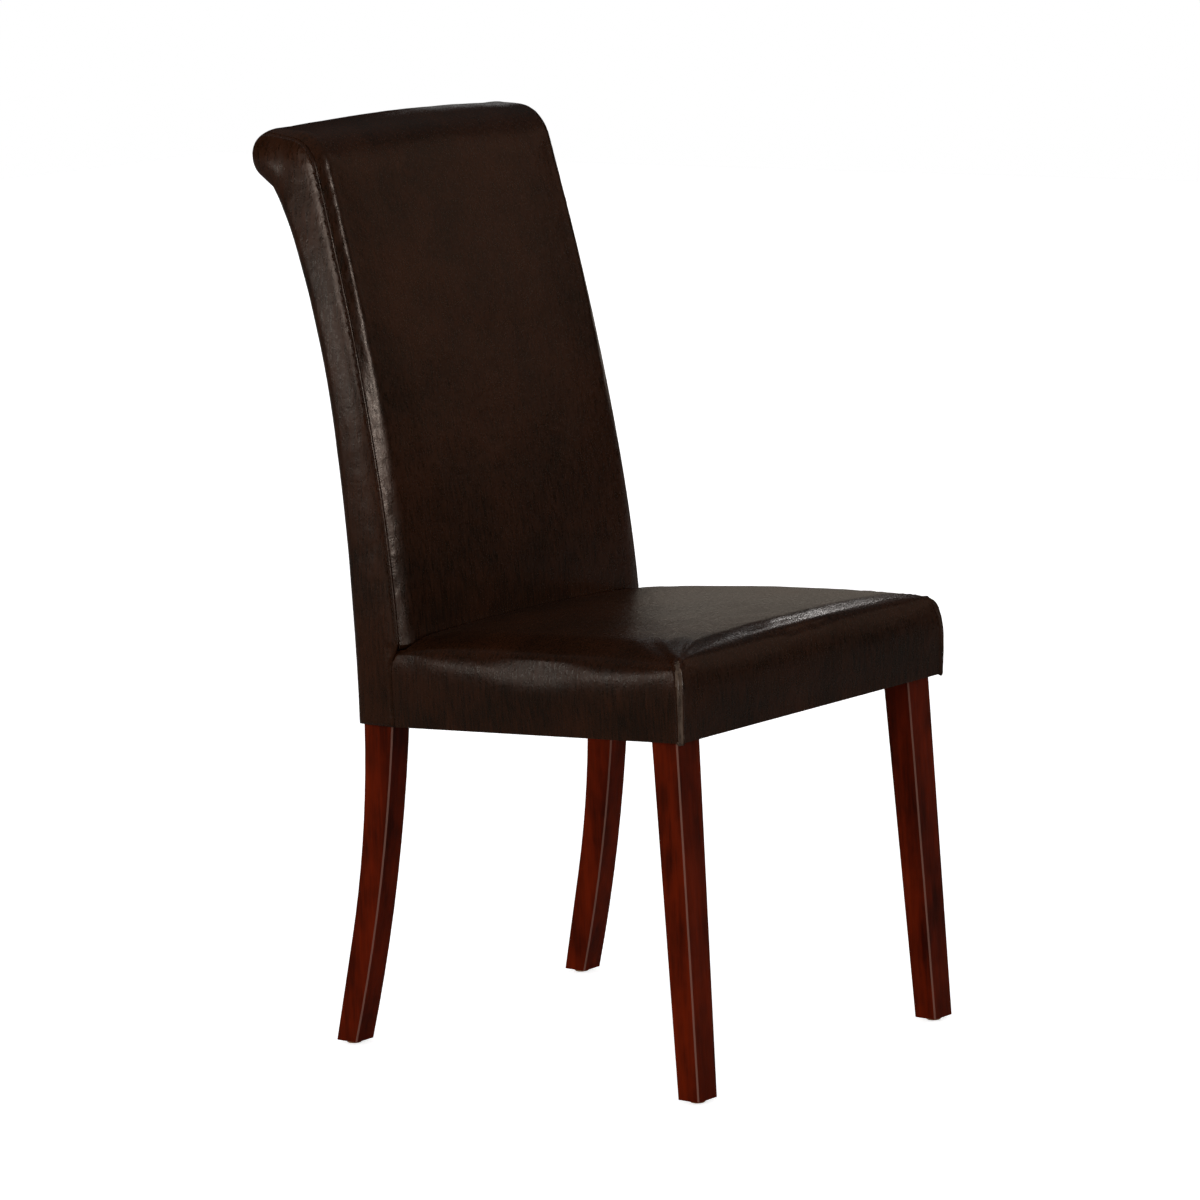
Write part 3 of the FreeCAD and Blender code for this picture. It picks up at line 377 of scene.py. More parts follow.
def puff(piece, held, limit):
    """Presses a cover outwards. Held is 1 where a point is pinned and 0 where it is free."""
    rest = places(piece)
    pins = piece.vertex_groups.new(name="held")
    for index, share in enumerate(held):
        if share > 0.0:
            pins.add([index], float(share), "REPLACE")
    cloth = piece.modifiers.new("cloth", "CLOTH")
    for setting, value in CLOTH_SETTINGS.items():
        setattr(cloth.settings, setting, value)
    cloth.settings.vertex_group_mass = pins.name
    cloth.settings.effector_weights.gravity = 0.0
    cloth.point_cache.frame_end = CLOTH_FRAMES
    for frame_number in range(1, CLOTH_FRAMES + 1):
        bpy.context.scene.frame_set(frame_number)
    shaped = piece.evaluated_get(bpy.context.evaluated_depsgraph_get()).to_mesh()
    moved = np.zeros(len(rest) * 3)
    shaped.vertices.foreach_get("co", moved)
    piece.modifiers.remove(cloth)
    piece.vertex_groups.remove(pins)
    bpy.context.scene.frame_set(1)
    step = moved.reshape(-1, 3) / MM - rest
    far = np.linalg.norm(step, axis=1, keepdims=True)
    move_to(piece, rest + step * np.minimum(1.0, limit / np.maximum(far, limit)))
    print(piece.name, "swelled by up to", round(float(min(far.max(), limit)), 1), "mm")


def ripple(points, size, seed):
    """Smooth noise between -1 and 1 at each point, with waves about as long as the size."""
    shift = Vector((seed * 7.3, seed * 3.1, seed * 5.7))
    return np.array([noise.noise(Vector(point / size) + shift) for point in points])


def waves(points, *layers):
    """Adds up ripples, each given as its height, its size and its seed."""
    return sum(height * ripple(points, size, seed) for height, size, seed in layers)


# %% [markdown]
# ## The front of the back
# One panel of cover runs from behind the seat, up the front of the back, over the top
# and round the roll. Across the chair it is nearly flat, with round shoulders that dive
# to the seams. It is lofted: a row of points across, repeated along the seam outline.
# The foam behind it belongs to the same closed shape.

# %% Shape of the front panel
EDGE_RUN = 34.0
FIRM_RUNS = (9.0, 19.0)
BACK_BULGE = 8.5
ROLL_BULGE = 2.5
BACK_CROWN = 3.5
ROLL_BEGINS, ROLL_BLEND = 30.0, 90.0
FIRM_FROM, FIRM_BLEND = 120.0, 300.0
FOAM_DEPTH = 7.6
SEAM_GAP = 1.4
ROW_PITCH, TURN_PITCH = 5.0, 3.0
TURN_LEAN = math.radians(16.0)
FOLD_BEND = 0.2
EDGE_STEPS = 22
MIDDLE_COLUMNS = 56
TUCK = 2.0
TUCK_IN = (1.8, 0.0), (3.6, 0.4), (5.4, 1.6)


def back_rows():
    """Distances along the seam, closer together where the panel turns."""
    turns_from = seam_line[np.argmax(seam_line[:, 3] > TURN_LEAN), 0]
    slow = np.linspace(TUCK, turns_from, round((turns_from - TUCK) / ROW_PITCH))
    turning = seam_line[-1, 0] - turns_from
    quick = np.linspace(turns_from, seam_line[-1, 0], round(turning / TURN_PITCH))
    return np.concatenate([slow, quick[1:]])


def back_bulge(distance):
    """How far the middle of the panel stands out from its seams."""
    roll_from = seam_line[-1, 0] - sum(move_length(*move) for move in SEAM_MOVES[-3:])
    share = (distance - roll_from + ROLL_BEGINS) / ROLL_BLEND
    return BACK_BULGE + (ROLL_BULGE - BACK_BULGE) * ease(share)


def folded(share):
    """Rises straight from 0 to 1 and then turns quickly to level, as a firm edge does."""
    return 1.0 - FOLD_BEND * np.log1p(np.exp((1.0 - share) / FOLD_BEND))


def across_back(half, bulge, crisp):
    """X and rise of one row of points across the panel. Crisp is 1 for a firm edge."""
    turn = np.linspace(0.0, math.pi / 2, EDGE_STEPS)
    middle = np.linspace(-1.0, 1.0, MIDDLE_COLUMNS)[1:-1]
    left = -half + EDGE_RUN * (1.0 - np.cos(turn))
    x = np.concatenate([left, middle * (half - EDGE_RUN), -left[::-1]])
    fold_at = FIRM_RUNS[1] + (FIRM_RUNS[0] - FIRM_RUNS[1]) * crisp
    firm, soft = folded((left + half) / fold_at), bow(left + half, EDGE_RUN)
    firmness = ease(crisp * 3.0)
    edge = bulge * (firmness * firm + (1.0 - firmness) * soft)
    rise = np.concatenate([edge, bulge + BACK_CROWN * (1.0 - middle ** 2), edge[::-1]])
    return x, rise


def back_panel():
    """Rings round the panel and its foam. The last rows are tucked into the crease.

    TUCK_IN says for each of them how much further it goes and how deep it sinks.
    """
    rings = []
    for distance in back_rows():
        y, z, lean = along(seam_line, distance)
        half = half_back(z)
        crisp = ease((distance - FIRM_FROM) / FIRM_BLEND)
        x, rise = across_back(half, back_bulge(distance), crisp)
        sunk_x = x * (half - SEAM_GAP) / half
        x = np.concatenate([x, [half - SEAM_GAP], sunk_x[::-1], [SEAM_GAP - half]])
        turned = [-FOAM_DEPTH / 3]
        rise = np.concatenate([rise, turned, np.full(len(sunk_x), -FOAM_DEPTH), turned])
        rings.append(np.stack([x, y - rise * np.cos(lean), z + rise * np.sin(lean)], axis=1))
    rings = np.array(rings)
    for row, (further, sunk) in enumerate(TUCK_IN, start=len(rings) - len(TUCK_IN)):
        rings[row, :len(sunk_x), 1] += further * np.sin(lean) + sunk * np.cos(lean)
        rings[row, :len(sunk_x), 2] += further * np.cos(lean) - sunk * np.sin(lean)
    return rings


def ring_faces(rows, columns):
    """Quads between neighbouring closed rings."""
    return [(row * columns + column, row * columns + (column + 1) % columns,
             (row + 1) * columns + (column + 1) % columns, (row + 1) * columns + column)
            for row in range(rows - 1) for column in range(columns)]


def back_caps(rows, columns):
    """Closes the first and last ring between the panel and the foam's rear face."""
    front = columns // 2 - 1
    faces = []
    for base in (0, (rows - 1) * columns):
        rear = base + 2 * front
        faces += [(base + i, base + i + 1, rear - i - 1, rear - i) for i in range(front - 1)]
        faces += [(base + front - 1, base + front, base + front + 1), (base, rear, rear + 1)]
    return faces


back_rings = back_panel()
row_count, column_count = back_rings.shape[:2]
front_count = column_count // 2 - 1
inside_back = make_piece("inside_back_panel", back_rings.reshape(-1, 3),
                         ring_faces(row_count, column_count) + back_caps(row_count, column_count))
print("rows", row_count, "columns", front_count)

# %% [markdown]
# The seams, the lower edge behind the seat and the rear face are held. The rest is free,
# so the panel fills out between its seams. Afterwards small waves are added: slow ones
# over the whole panel, and puckers that fade away from the seams, where the thread
# draws the cover in.

# %% Fill and wrinkle the front panel
BACK_SWELL = 2.2
BACK_WAVE, BACK_CREASE = (0.55, 70.0, 1), (0.25, 22.0, 2)
LENGTHWAYS = (1.0, 1.0, 0.35)
PUCKER_HEIGHT, PUCKER_PITCH, PUCKER_REACH = 0.9, 9.0, 13.0


def hold_back():
    held = np.ones((row_count, column_count))
    edge = np.abs(back_rings[:, :front_count, 0] - back_rings[:, :1, 0])
    edge = np.minimum(edge, edge[:, ::-1])
    held[:, :front_count] = 1.0 - ease((edge - 1.0) / 30.0)
    held[:4] = held[-4:] = 1.0
    return held, edge


held, edge = hold_back()
puff(inside_back, held.ravel(), BACK_SWELL)
points = places(inside_back)
out = read(inside_back, "normal")
from_edge = np.full((row_count, column_count), 0.0)
from_edge[:, :front_count] = edge
free = (1.0 - held).ravel()
slow_waves = waves(points, BACK_WAVE) + waves(points * LENGTHWAYS, BACK_CREASE)
puckers = ripple(points * (0.35, 1.0, 1.0), PUCKER_PITCH, 9).reshape(row_count, column_count)
puckers = PUCKER_HEIGHT * puckers * np.exp(-from_edge / PUCKER_REACH) * ease(from_edge / 5.0)
points += out * (slow_waves * free + puckers.ravel())[:, None]
move_to(inside_back, points)
dress(inside_back, leather, "leather", "inside_back_cover", "back_foam")

# %% [markdown]
# ## The sides of the back
# Each side of the back is one flat piece of cover, sewn to the front panel and drawn
# round to the rear. Its outline is known, but it has no tidy rows and columns, so it is
# filled with evenly spread points and joined up into triangles that respect the outline.
# Two such layers, joined round the rim, make a closed pad.

# %% Outline of a side panel
PANEL_FORE, PANEL_LOW = 116.6, 368.6
PANEL_WIDENS = 436.0
PANEL_SEAM_INSET = 1.0
PANEL_REAR_INSET = 1.3
POINT_PITCH = 4.0
RIM_PITCH = 3.0


def offset_line(line, inset, start, end, pitch):
    """Points of an outline from one distance to another, moved in towards the rear."""
    distance = np.linspace(start, end, round(abs(end - start) / pitch) + 1)
    y, z, lean = along(line, distance)
    return np.stack([y + inset * np.cos(lean), z - inset * np.sin(lean)], axis=1)


def side_outline():
    """Closed outline of the side panel in the side view, from the front of its hem."""
    seam = offset_line(seam_line, PANEL_SEAM_INSET, 10.0, seam_line[-1, 0] - 1.0, RIM_PITCH)
    rear = offset_line(rear_line, -PANEL_REAR_INSET, rear_line[-1, 0] - 2.0, 0.0, RIM_PITCH)
    rise = np.linspace(0.0, 1.0, 24)
    seam_y, seam_z = seam[0]
    low_z = PANEL_LOW + (seam_z - PANEL_LOW) * rise[:-1]
    share = (low_z - PANEL_WIDENS) / (seam_z - PANEL_WIDENS)
    low_y = PANEL_FORE + (seam_y - PANEL_FORE) * ease(share)
    hem = np.linspace(rear[-1], (PANEL_FORE, PANEL_LOW), 18)[1:-1]
    return np.concatenate([np.stack([low_y, low_z], axis=1), seam, rear, hem])


def nearest(spots, line):
    """Distance from each spot to the nearest point of a line."""
    return np.array([np.sqrt(((line - spot) ** 2).sum(axis=1).min()) for spot in spots])


def inside(spots, rim):
    """Which spots lie inside a closed outline, by counting crossings."""
    a, b = rim, np.roll(rim, -1, axis=0)
    y, z = spots[:, :1], spots[:, 1:]
    crosses = (a[:, 1] > z) != (b[:, 1] > z)
    height = np.where(b[:, 1] == a[:, 1], 1.0, b[:, 1] - a[:, 1])
    at = a[:, 0] + (z - a[:, 1]) * (b[:, 0] - a[:, 0]) / height
    return (crosses & (y < at)).sum(axis=1) % 2 == 1


def fill_outline(rim, pitch, margin):
    """Points and triangles that fill an outline evenly. The first points are the rim's."""
    low, high = rim.min(axis=0), rim.max(axis=0)
    rows = np.arange(low[1], high[1], pitch * math.sqrt(3) / 2)
    grid = np.array([(y + (index % 2) * pitch / 2, z) for index, z in enumerate(rows)
                     for y in np.arange(low[0], high[0], pitch)])
    grid = grid[inside(grid, rim)]
    grid = grid[nearest(grid, rim) > margin]
    spots = [Vector(spot) for spot in np.concatenate([rim, grid])]
    edges = [(index, (index + 1) % len(rim)) for index in range(len(rim))]
    found = delaunay_2d_cdt(spots, edges, [], 1, 1e-6)
    return np.array([tuple(spot) for spot in found[0]]), [tuple(face) for face in found[2]]


panel_rim = side_outline()
panel_spots, panel_faces = fill_outline(panel_rim, POINT_PITCH, 1.6)
print("side panel points:", len(panel_spots), "triangles:", len(panel_faces))

# %% [markdown]
# The panel lies over a little wadding. It rises quickly from the seam, runs nearly flat
# over the post and turns in again at the rear. At the roll it is a soft round button.
# Where the seam turns over the top, the thread draws up short creases.

# %% Height of the side panel
SIDE_FULL = 7.0
SEAM_RUN, REAR_RUN, FORE_RUN = 32.0, 13.0, 7.0
SEAT_LEVEL = 462.0
BUTTON_RISE = 1.5
ROLL_Y, ROLL_Z, ROLL_RADIUS = 273.86, 991.8, 26.0
TOP_TURN, TURN_LENGTH = 560.0, 34.0
CREASE_HEIGHT, CREASE_PITCH, CREASE_REACH = 0.45, 9.0, 9.0
SIDE_PUCKER = (0.6, 8.0, 10)
SIDE_WAVES = (0.5, 60.0, 3), (0.22, 21.0, 4)
SIDE_INNER = 2.4
seam_edge = offset_line(seam_line, 0.0, 0.0, seam_line[-1, 0], 1.0)
seam_marks = np.linspace(0.0, seam_line[-1, 0], len(seam_edge))
rear_edge = offset_line(rear_line, 0.0, 0.0, rear_line[-1, 0], 1.0)


def side_height(spots):
    """How far the side panel stands out from the plane of its seams."""
    to_seam = nearest(spots, seam_edge)
    to_rear = nearest(spots, rear_edge)
    beside_seat = spots[:, 1] < SEAT_LEVEL
    to_fore = np.where(beside_seat, np.abs(spots[:, 0] - PANEL_FORE + 0.6), 40.0)
    to_low = spots[:, 1] - PANEL_LOW + 1.0
    mark = seam_marks[[((seam_edge - spot) ** 2).sum(axis=1).argmin() for spot in spots]]
    height = SIDE_FULL * dome(to_seam, SEAM_RUN) * dome(to_rear, REAR_RUN)
    height *= dome(to_fore, FORE_RUN) * (0.45 + 0.55 * ease(to_low / 120.0)) * dome(to_low, 3.0)
    roll = np.hypot(spots[:, 0] - ROLL_Y, spots[:, 1] - ROLL_Z) / ROLL_RADIUS
    height += BUTTON_RISE * np.clip(1.0 - roll ** 2, 0.0, 1.0)
    crease = np.exp(-((mark - TOP_TURN) / TURN_LENGTH) ** 2) * np.exp(-to_seam / CREASE_REACH)
    wave = np.sin(2 * math.pi * mark / CREASE_PITCH + to_seam * 0.12)
    height += CREASE_HEIGHT * crease * wave * ease(to_seam / 3.0)
    solid = np.column_stack([np.zeros(len(spots)), spots])
    height += waves(solid, SIDE_PUCKER) * np.exp(-to_seam / 14.0) * ease(to_seam / 6.0)
    return height + waves(solid, *SIDE_WAVES) * dome(to_seam, 25.0)


panel_height = side_height(panel_spots)
print("side panel stands out by up to", round(float(panel_height.max()), 1), "mm")

# %% [markdown]
# One height serves both sides, because a chair like this is cut from one pattern and its
# mirror image. The inner layer lies flat against the post, and the rims of both layers
# are joined, so that each panel is a closed pad with the wadding inside.

# %% Build both side panels
for side, hand in ((-1, "right"), (1, "left")):
    width = half_back(panel_spots[:, 1])
    layers = [np.column_stack([side * (width + height), panel_spots])
              for height in (panel_height, -SIDE_INNER)]
    panel = make_piece("side_panel_%s_cover" % hand,
                       *two_layers(*layers, panel_faces, len(panel_rim)))
    dress(panel, leather, "leather", "side_panel_" + hand, "side_wadding_" + hand)

# %% [markdown]
# ## Stitches along the side seams
# A row of thread holds the side panel to the front panel and shows beside the seam. Each
# stitch is a short bent tube whose ends dive into the cover.

# %% Stitches
STITCH_PITCH = 4.6
STITCH_LENGTH = 3.5
STITCH_RADIUS = 0.42
STITCH_INSET = 2.8
STITCH_FIRST, STITCH_LAST = 14.0, 640.0
STITCH_LIFT = (-0.35, 0.12, 0.25, 0.12, -0.35)
THREAD_SIDES = 6


def tube(path, radius, sides=THREAD_SIDES):
    """Points and faces of a closed tube along a short path of points."""
    path = np.asarray(path, float)
    points, faces = [], []
    for index, spot in enumerate(path):
        ahead = path[min(index + 1, len(path) - 1)] - path[max(index - 1, 0)]
        ahead /= np.linalg.norm(ahead)
        side = np.cross(ahead, (1.0, 0.0, 0.0) if abs(ahead[0]) < 0.8 else (0.0, 0.0, 1.0))
        side /= np.linalg.norm(side)
        up = np.cross(ahead, side)
        for turn in np.arange(sides) * 2 * math.pi / sides:
            points.append(spot + radius * (math.cos(turn) * side + math.sin(turn) * up))
    faces += ring_faces(len(path), sides)
    faces += [tuple(range(sides))[::-1], tuple(range(len(points) - sides, len(points)))]
    return points, faces


def many(parts):
    """Joins lists of points and faces into one."""
    points, faces = [], []
    for part_points, part_faces in parts:
        base = len(points)
        points.extend(part_points)
        faces.extend(tuple(base + index for index in face) for face in part_faces)
    return points, faces


def stitch_row(side):
    marks = np.arange(STITCH_FIRST, STITCH_LAST, STITCH_PITCH)
    steps = np.linspace(-STITCH_LENGTH / 2, STITCH_LENGTH / 2, len(STITCH_LIFT))
    y, z, lean = along(seam_line, (marks[:, None] + steps[None, :]).ravel())
    spots = np.stack([y + STITCH_INSET * np.cos(lean), z - STITCH_INSET * np.sin(lean)], axis=1)
    lift = side_height(spots) + np.tile(STITCH_LIFT, len(marks))
    path = np.column_stack([side * (half_back(spots[:, 1]) + lift), spots])
    return [tube(stitch, STITCH_RADIUS) for stitch in path.reshape(len(marks), -1, 3)]


for side, hand in ((-1, "right"), (1, "left")):
    row = make_piece("side_seam_stitches_" + hand, *many(stitch_row(side)))
    dress(row, thread, "leather")

# %% [markdown]
# ## The outside of the back
# The rear of the back is closed by a plain panel over thin board, tacked down both sides
# and turned under at the bottom, between the rear posts. At the top its edge is turned
# over the board and hidden in the crease. It is a thin sheet that follows the rear
# outline, with its edges rolled in towards the side panels. The rows over the board are
# written as Y and Z, one list for the outer face and one for the inner face.

# %% Outside back panel
REAR_PITCH = 6.0
REAR_COLUMNS = 60
COVER_THICK = 1.2
REAR_EDGE = 2.2
REAR_WAVE = (0.55, 85.0, 5)
REAR_BULGE = 0.5
OVER_OUTER = (264.5, 949.4), (264.0, 950.9), (262.8, 951.6), (261.8, 951.8)
OVER_INNER = (263.3, 949.3), (263.0, 950.1), (262.5, 950.5), (261.8, 950.6)
HEM_WIDTH = 24.0
HEM_STEPS = (HEM_WIDTH, 18.0, 12.0, 6.0, 2.0)
POST_ROOM = 175.5


def level_row(x, y, z):
    """A row of points straight across the chair."""
    return np.stack([x, np.full(len(x), y), np.full(len(x), z)], axis=1)


def rear_layer(depth, over):
    """Rows of one face of the panel, sunk by a depth, then the rows over the board."""
    distance = np.linspace(0.0, rear_line[-1, 0] - 1.5, round(rear_line[-1, 0] / REAR_PITCH))
    y, z, lean = (value[:, None] for value in along(rear_line, distance))
    half = half_back(z) - REAR_EDGE
    x = half * np.sin(np.linspace(-math.pi / 2, math.pi / 2, REAR_COLUMNS))
    to_side = half - np.abs(x)
    sink = depth + 1.1 * (1.0 - dome(to_side, 7.0))
    if depth == 0.0:
        spots = np.stack(np.broadcast_arrays(x, y, z), axis=2)
        soft = waves(spots.reshape(-1, 3), REAR_WAVE).reshape(x.shape) * dome(to_side, 60.0)
        soft *= dome(distance, 40.0)[:, None] * dome(distance[::-1], 30.0)[:, None]
        full = dome(to_side, 160.0) * dome(distance, 90.0)[:, None]
        sink = sink - soft - REAR_BULGE * full
    layer = np.stack([x, y - sink * np.cos(lean), z + sink * np.sin(lean)], axis=2)
    return np.concatenate([layer, [level_row(x[-1], *spot) for spot in over]])


outer, inner = rear_layer(0.0, OVER_OUTER), rear_layer(COVER_THICK, OVER_INNER)
hem_x = outer[0, :, 0] * POST_ROOM / outer[0, :, 0].max()
hem_y, hem_z = REAR_START[:2]
outer_hem, inner_hem = ([level_row(hem_x, hem_y - step, hem_z + lift) for step in HEM_STEPS]
                        for lift in (0.0, COVER_THICK))
outer_rows = np.concatenate([outer_hem, outer])
inner_rows = np.concatenate([inner_hem, inner])
rear_rings = np.concatenate([outer_rows, inner_rows[:, ::-1]], axis=1)
rear_rows, rear_columns = rear_rings.shape[:2]
rear_caps = [tuple(base + i for i in (k, k + 1, rear_columns - 2 - k, rear_columns - 1 - k))
             for base in (0, (rear_rows - 1) * rear_columns) for k in range(REAR_COLUMNS - 1)]
outside_back = make_piece("outside_back_panel", rear_rings.reshape(-1, 3),
                          ring_faces(rear_rows, rear_columns) + rear_caps)
dress(outside_back, leather, "leather", "outside_back_cover")

# %% [markdown]
# ## The seat
# The seat is a thick pad pulled over the rails: its sides fall straight, its top is
# crowned, its front edge is soft, and its front corners are sewn. It starts as a box of
# rows and columns that is bent to shape: across, each slice has two round shoulders and
# a crown, and along the chair the slices sink at the front.

# %% Slices of the seat
SEAT_FORE, SEAT_AFT = -303.8, 115.8
REAR_PLANE = 116.0
SEAT_HALF = (234.6, 212.0)
UNDER_SEAT = (391.5, 368.5)
SIDE_HEIGHT = (92.5, 96.5)
SIDE_SLOPE, FRONT_SLOPE = (36.0, 12.0), (16.0, 7.0)
EDGE_RADIUS = 4.5
CROWN_ACROSS, CROWN_ALONG = 7.0, 4.0


def seat_size(pair, y):
    return pair[0] + (pair[1] - pair[0]) * (y - SEAT_FORE) / (REAR_PLANE - SEAT_FORE)


def edge_drop(distance, run, drop):
    """How far the top is sunk beside an edge: a long soft slope and a small round."""
    distance = np.maximum(distance, 0.0)
    slope = drop * np.clip(1.0 - distance / run, 0.0, 1.0) ** 2
    return slope + EDGE_RADIUS * (1.0 - dome(distance, EDGE_RADIUS))


def seat_top(x, y):
    """Height of the seat's top at a place."""
    half, low, side = (seat_size(pair, y) for pair in (SEAT_HALF, UNDER_SEAT, SIDE_HEIGHT))
    along_seat = (y - SEAT_FORE) / (SEAT_AFT - SEAT_FORE)
    crown = CROWN_ACROSS * (1.0 - (x / half) ** 2)
    crown = crown + CROWN_ALONG * 4.0 * along_seat * (1.0 - along_seat)
    drop = np.hypot(edge_drop(half - np.abs(x), *SIDE_SLOPE),
                    edge_drop(y - SEAT_FORE, *FRONT_SLOPE))
    return low + side + crown - drop


# %% [markdown]
# The border of a padded seat is never flat. It is fullest a little below its middle, and
# the pull of the top cover draws its upper part in, so that the light catches it there.

# %% Plump border of the seat
BORDER_FULL = 1.6
BORDER_DRAW = 4.5


def plumped(x, y, z):
    """Fills out the sides and the front, and draws their upper parts in."""
    half, low, side = (seat_size(pair, y) for pair in (SEAT_HALF, UNDER_SEAT, SIDE_HEIGHT))
    up = np.clip((z - low) / side, 0.0, 1.0)
    drawn = BORDER_DRAW * np.clip((up - 0.5) / 0.4, 0.0, 1.0) ** 2
    out = BORDER_FULL * np.sin(math.pi * up) - drawn
    ahead = np.clip(1.0 - (y - SEAT_FORE) / 45.0, 0.0, 1.0) ** 3
    return x + np.sign(x) * out * (np.abs(x) / half) ** 8, y - out * ahead, z


# %% [markdown]
# The skin is laid out as the six sides of a box. Rows and columns lie close together where
# the skin bends, and the rear end is shaped to the front of the back.

# %% Rows and columns of the seat
OUT_FROM_EDGE = [0.0, 0.4, 1.0, 1.9, 3.0, 4.3, 6.0, 8.0, 11.0, 15.0, 20.0]
SIDE_COLUMNS = np.array(OUT_FROM_EDGE + [26.0, 32.0, 39.0])
TOP_COLUMNS = 46
SIDE_ROWS = np.array([0.0, 0.012, 0.035, 0.07, 0.12, 0.18, 0.25, 0.33, 0.42, 0.51, 0.6, 0.68,
                      0.75, 0.81, 0.86, 0.9, 0.94, 0.97, 0.99, 1.0])
FRONT_ROWS = np.array(OUT_FROM_EDGE + [25.0, 30.0, 36.0, 43.0])
SEAT_ROW_PITCH = 8.0
AFT_ROWS = np.array([20.0, 15.0, 11.0, 8.0, 5.5, 3.5, 2.0, 0.9, 0.0])
TUCK_TOP, TUCK_LOW = 452.5, 447.0


def seat_columns(half):
    """X of the top's columns from one side to the other."""
    left = SIDE_COLUMNS - half
    middle = np.linspace(left[-1], -left[-1], TOP_COLUMNS)[1:-1]
    return np.concatenate([left, middle, -left[::-1]])


def seat_lengths():
    """Distances from the front edge, as shares of the seat's length."""
    length = SEAT_AFT - SEAT_FORE
    middle = np.arange(FRONT_ROWS[-1] + SEAT_ROW_PITCH,
                       length - AFT_ROWS[0] - SEAT_ROW_PITCH / 2, SEAT_ROW_PITCH)
    return np.concatenate([FRONT_ROWS, middle, length - AFT_ROWS]) / length


def seat_rear_end(x, z):
    """How far back the seat goes: up to the front of the back, and under it to the rear."""
    seam_y = np.interp(z, seam_line[:80, 2], seam_line[:80, 1])
    edge = half_back(z) - np.abs(x)
    front = seam_y - (BACK_BULGE + BACK_CROWN) * dome(edge, EDGE_RUN) - 0.8
    above = ease((z - TUCK_LOW) / (TUCK_TOP - TUCK_LOW)) * ease((edge + 4.0) / 6.0)
    return SEAT_AFT + (front - SEAT_AFT) * above


def seat_point(column, share, rise):
    """A point of the seat's skin: column across, share along, rise from its lower edge."""
    y = SEAT_FORE + share * (SEAT_AFT - SEAT_FORE)
    half, low = seat_size(SEAT_HALF, y), seat_size(UNDER_SEAT, y)
    x = seat_columns(half)[column]
    top = float(seat_top(x, y))
    z = low + (top - low) * rise
    y = SEAT_FORE + share * (float(seat_rear_end(x, z)) - SEAT_FORE)
    return plumped(x, y, z)


seat_shares = seat_lengths()
columns, rows, levels = len(seat_columns(SEAT_HALF[0])), len(seat_shares), len(SIDE_ROWS)
print("seat grid:", columns, rows, levels)

# %% [markdown]
# Each of the six sides is a sheet of quads, and neighbouring sides share their points
# along the edges. A dictionary remembers every point by its place in the grid, so that a
# point is made once and the skin has no open edge.


# %% Build the seat's skin
def box_skin(columns, rows, levels, place):
    """Points and quads of a box's six sides. Place gives the point of a grid index."""
    index, points, faces = {}, [], []

    def spot(*key):
        if key not in index:
            index[key] = len(points)
            points.append(place(*key))
        return index[key]

    def sheet(count_u, count_v, key):
        for u in range(count_u - 1):
            for v in range(count_v - 1):
                around = (u, v), (u + 1, v), (u + 1, v + 1), (u, v + 1)
                faces.append(tuple(spot(*key(*corner)) for corner in around))

    for level in (0, levels - 1):
        sheet(columns, rows, lambda u, v: (u, v, level))
    for column in (0, columns - 1):
        sheet(rows, levels, lambda u, v: (column, u, v))
    for row in (0, rows - 1):
        sheet(columns, levels, lambda u, v: (u, row, v))
    return points, faces


def seat_place(column, row, level):
    return seat_point(column, seat_shares[row], SIDE_ROWS[level])


seat = make_piece("seat_cushion", *box_skin(columns, rows, levels, seat_place))
print("seat points:", len(seat.data.vertices))

# %% [markdown]
# The lower edge, the rear and the corner seams are held while the pad fills out. Then
# the seams are sunk and a lip is raised on both sides of each, no further off than
# LIP_REACH, and the cover is puckered at the tops of the corner seams, where the most
# cloth has to be taken up.

# %% Fill the seat and sew its corners
SEAT_SWELL = 2.5
LIP_PLACE, LIP_WIDTH, LIP_HEIGHT = 3.0, 1.9, 2.4
GROOVE_WIDTH, GROOVE_DEPTH = 1.0, 1.5
LIP_REACH = 14.0
SEAT_WAVES = (0.5, 75.0, 6), (0.2, 24.0, 7)
TOP_PUCKER, TOP_PUCKER_REACH = 0.75, 11.0
SEAM_OVER = 8.0


def corner_seam(side):
    """Points along a front corner seam: up the corner, then over its round top."""
    half, low = SEAT_HALF[0], UNDER_SEAT[0]
    top = float(seat_top(half, SEAT_FORE))
    upright = [(side * half, SEAT_FORE, z) for z in np.linspace(low, top, 40)]
    for inward in np.linspace(0.3, SEAM_OVER, 14):
        x, y = half - inward, SEAT_FORE + inward
        upright.append((side * x, y, float(seat_top(x, y))))
    return np.array([plumped(*spot) for spot in upright])


def seat_held(points):
    low = np.array([seat_size(UNDER_SEAT, y) for y in points[:, 1]])
    held = 1.0 - ease((points[:, 2] - low - 2.0) / 26.0)
    held = np.maximum(held, ease((points[:, 1] - 66.0) / 30.0))
    for side in (-1, 1):
        held = np.maximum(held, 1.0 - ease((nearest(points, corner_seam(side)) - 2.0) / 20.0))
    return held


points = places(seat)
held = seat_held(points)
puff(seat, held, SEAT_SWELL)
points = places(seat)
out = read(seat, "normal")
step = waves(points, *SEAT_WAVES) * (1.0 - held)
for side in (-1, 1):
    seam = corner_seam(side)
    gap = nearest(points, seam)
    lip = LIP_HEIGHT * np.exp(-((gap - LIP_PLACE) / LIP_WIDTH) ** 2)
    lip -= GROOVE_DEPTH * np.exp(-(gap / GROOVE_WIDTH) ** 2)
    step += np.where(gap < LIP_REACH, lip, 0.0)
    away = points - seam[-1]
    reach = np.linalg.norm(away, axis=1)
    angle = np.arctan2(away[:, 2], away[:, 0] * -side + away[:, 1])
    puckers = np.sin(angle * 9.0) * np.exp(-reach / TOP_PUCKER_REACH) * ease(reach / 3.0)
    step += TOP_PUCKER * puckers
move_to(seat, points + out * step[:, None])

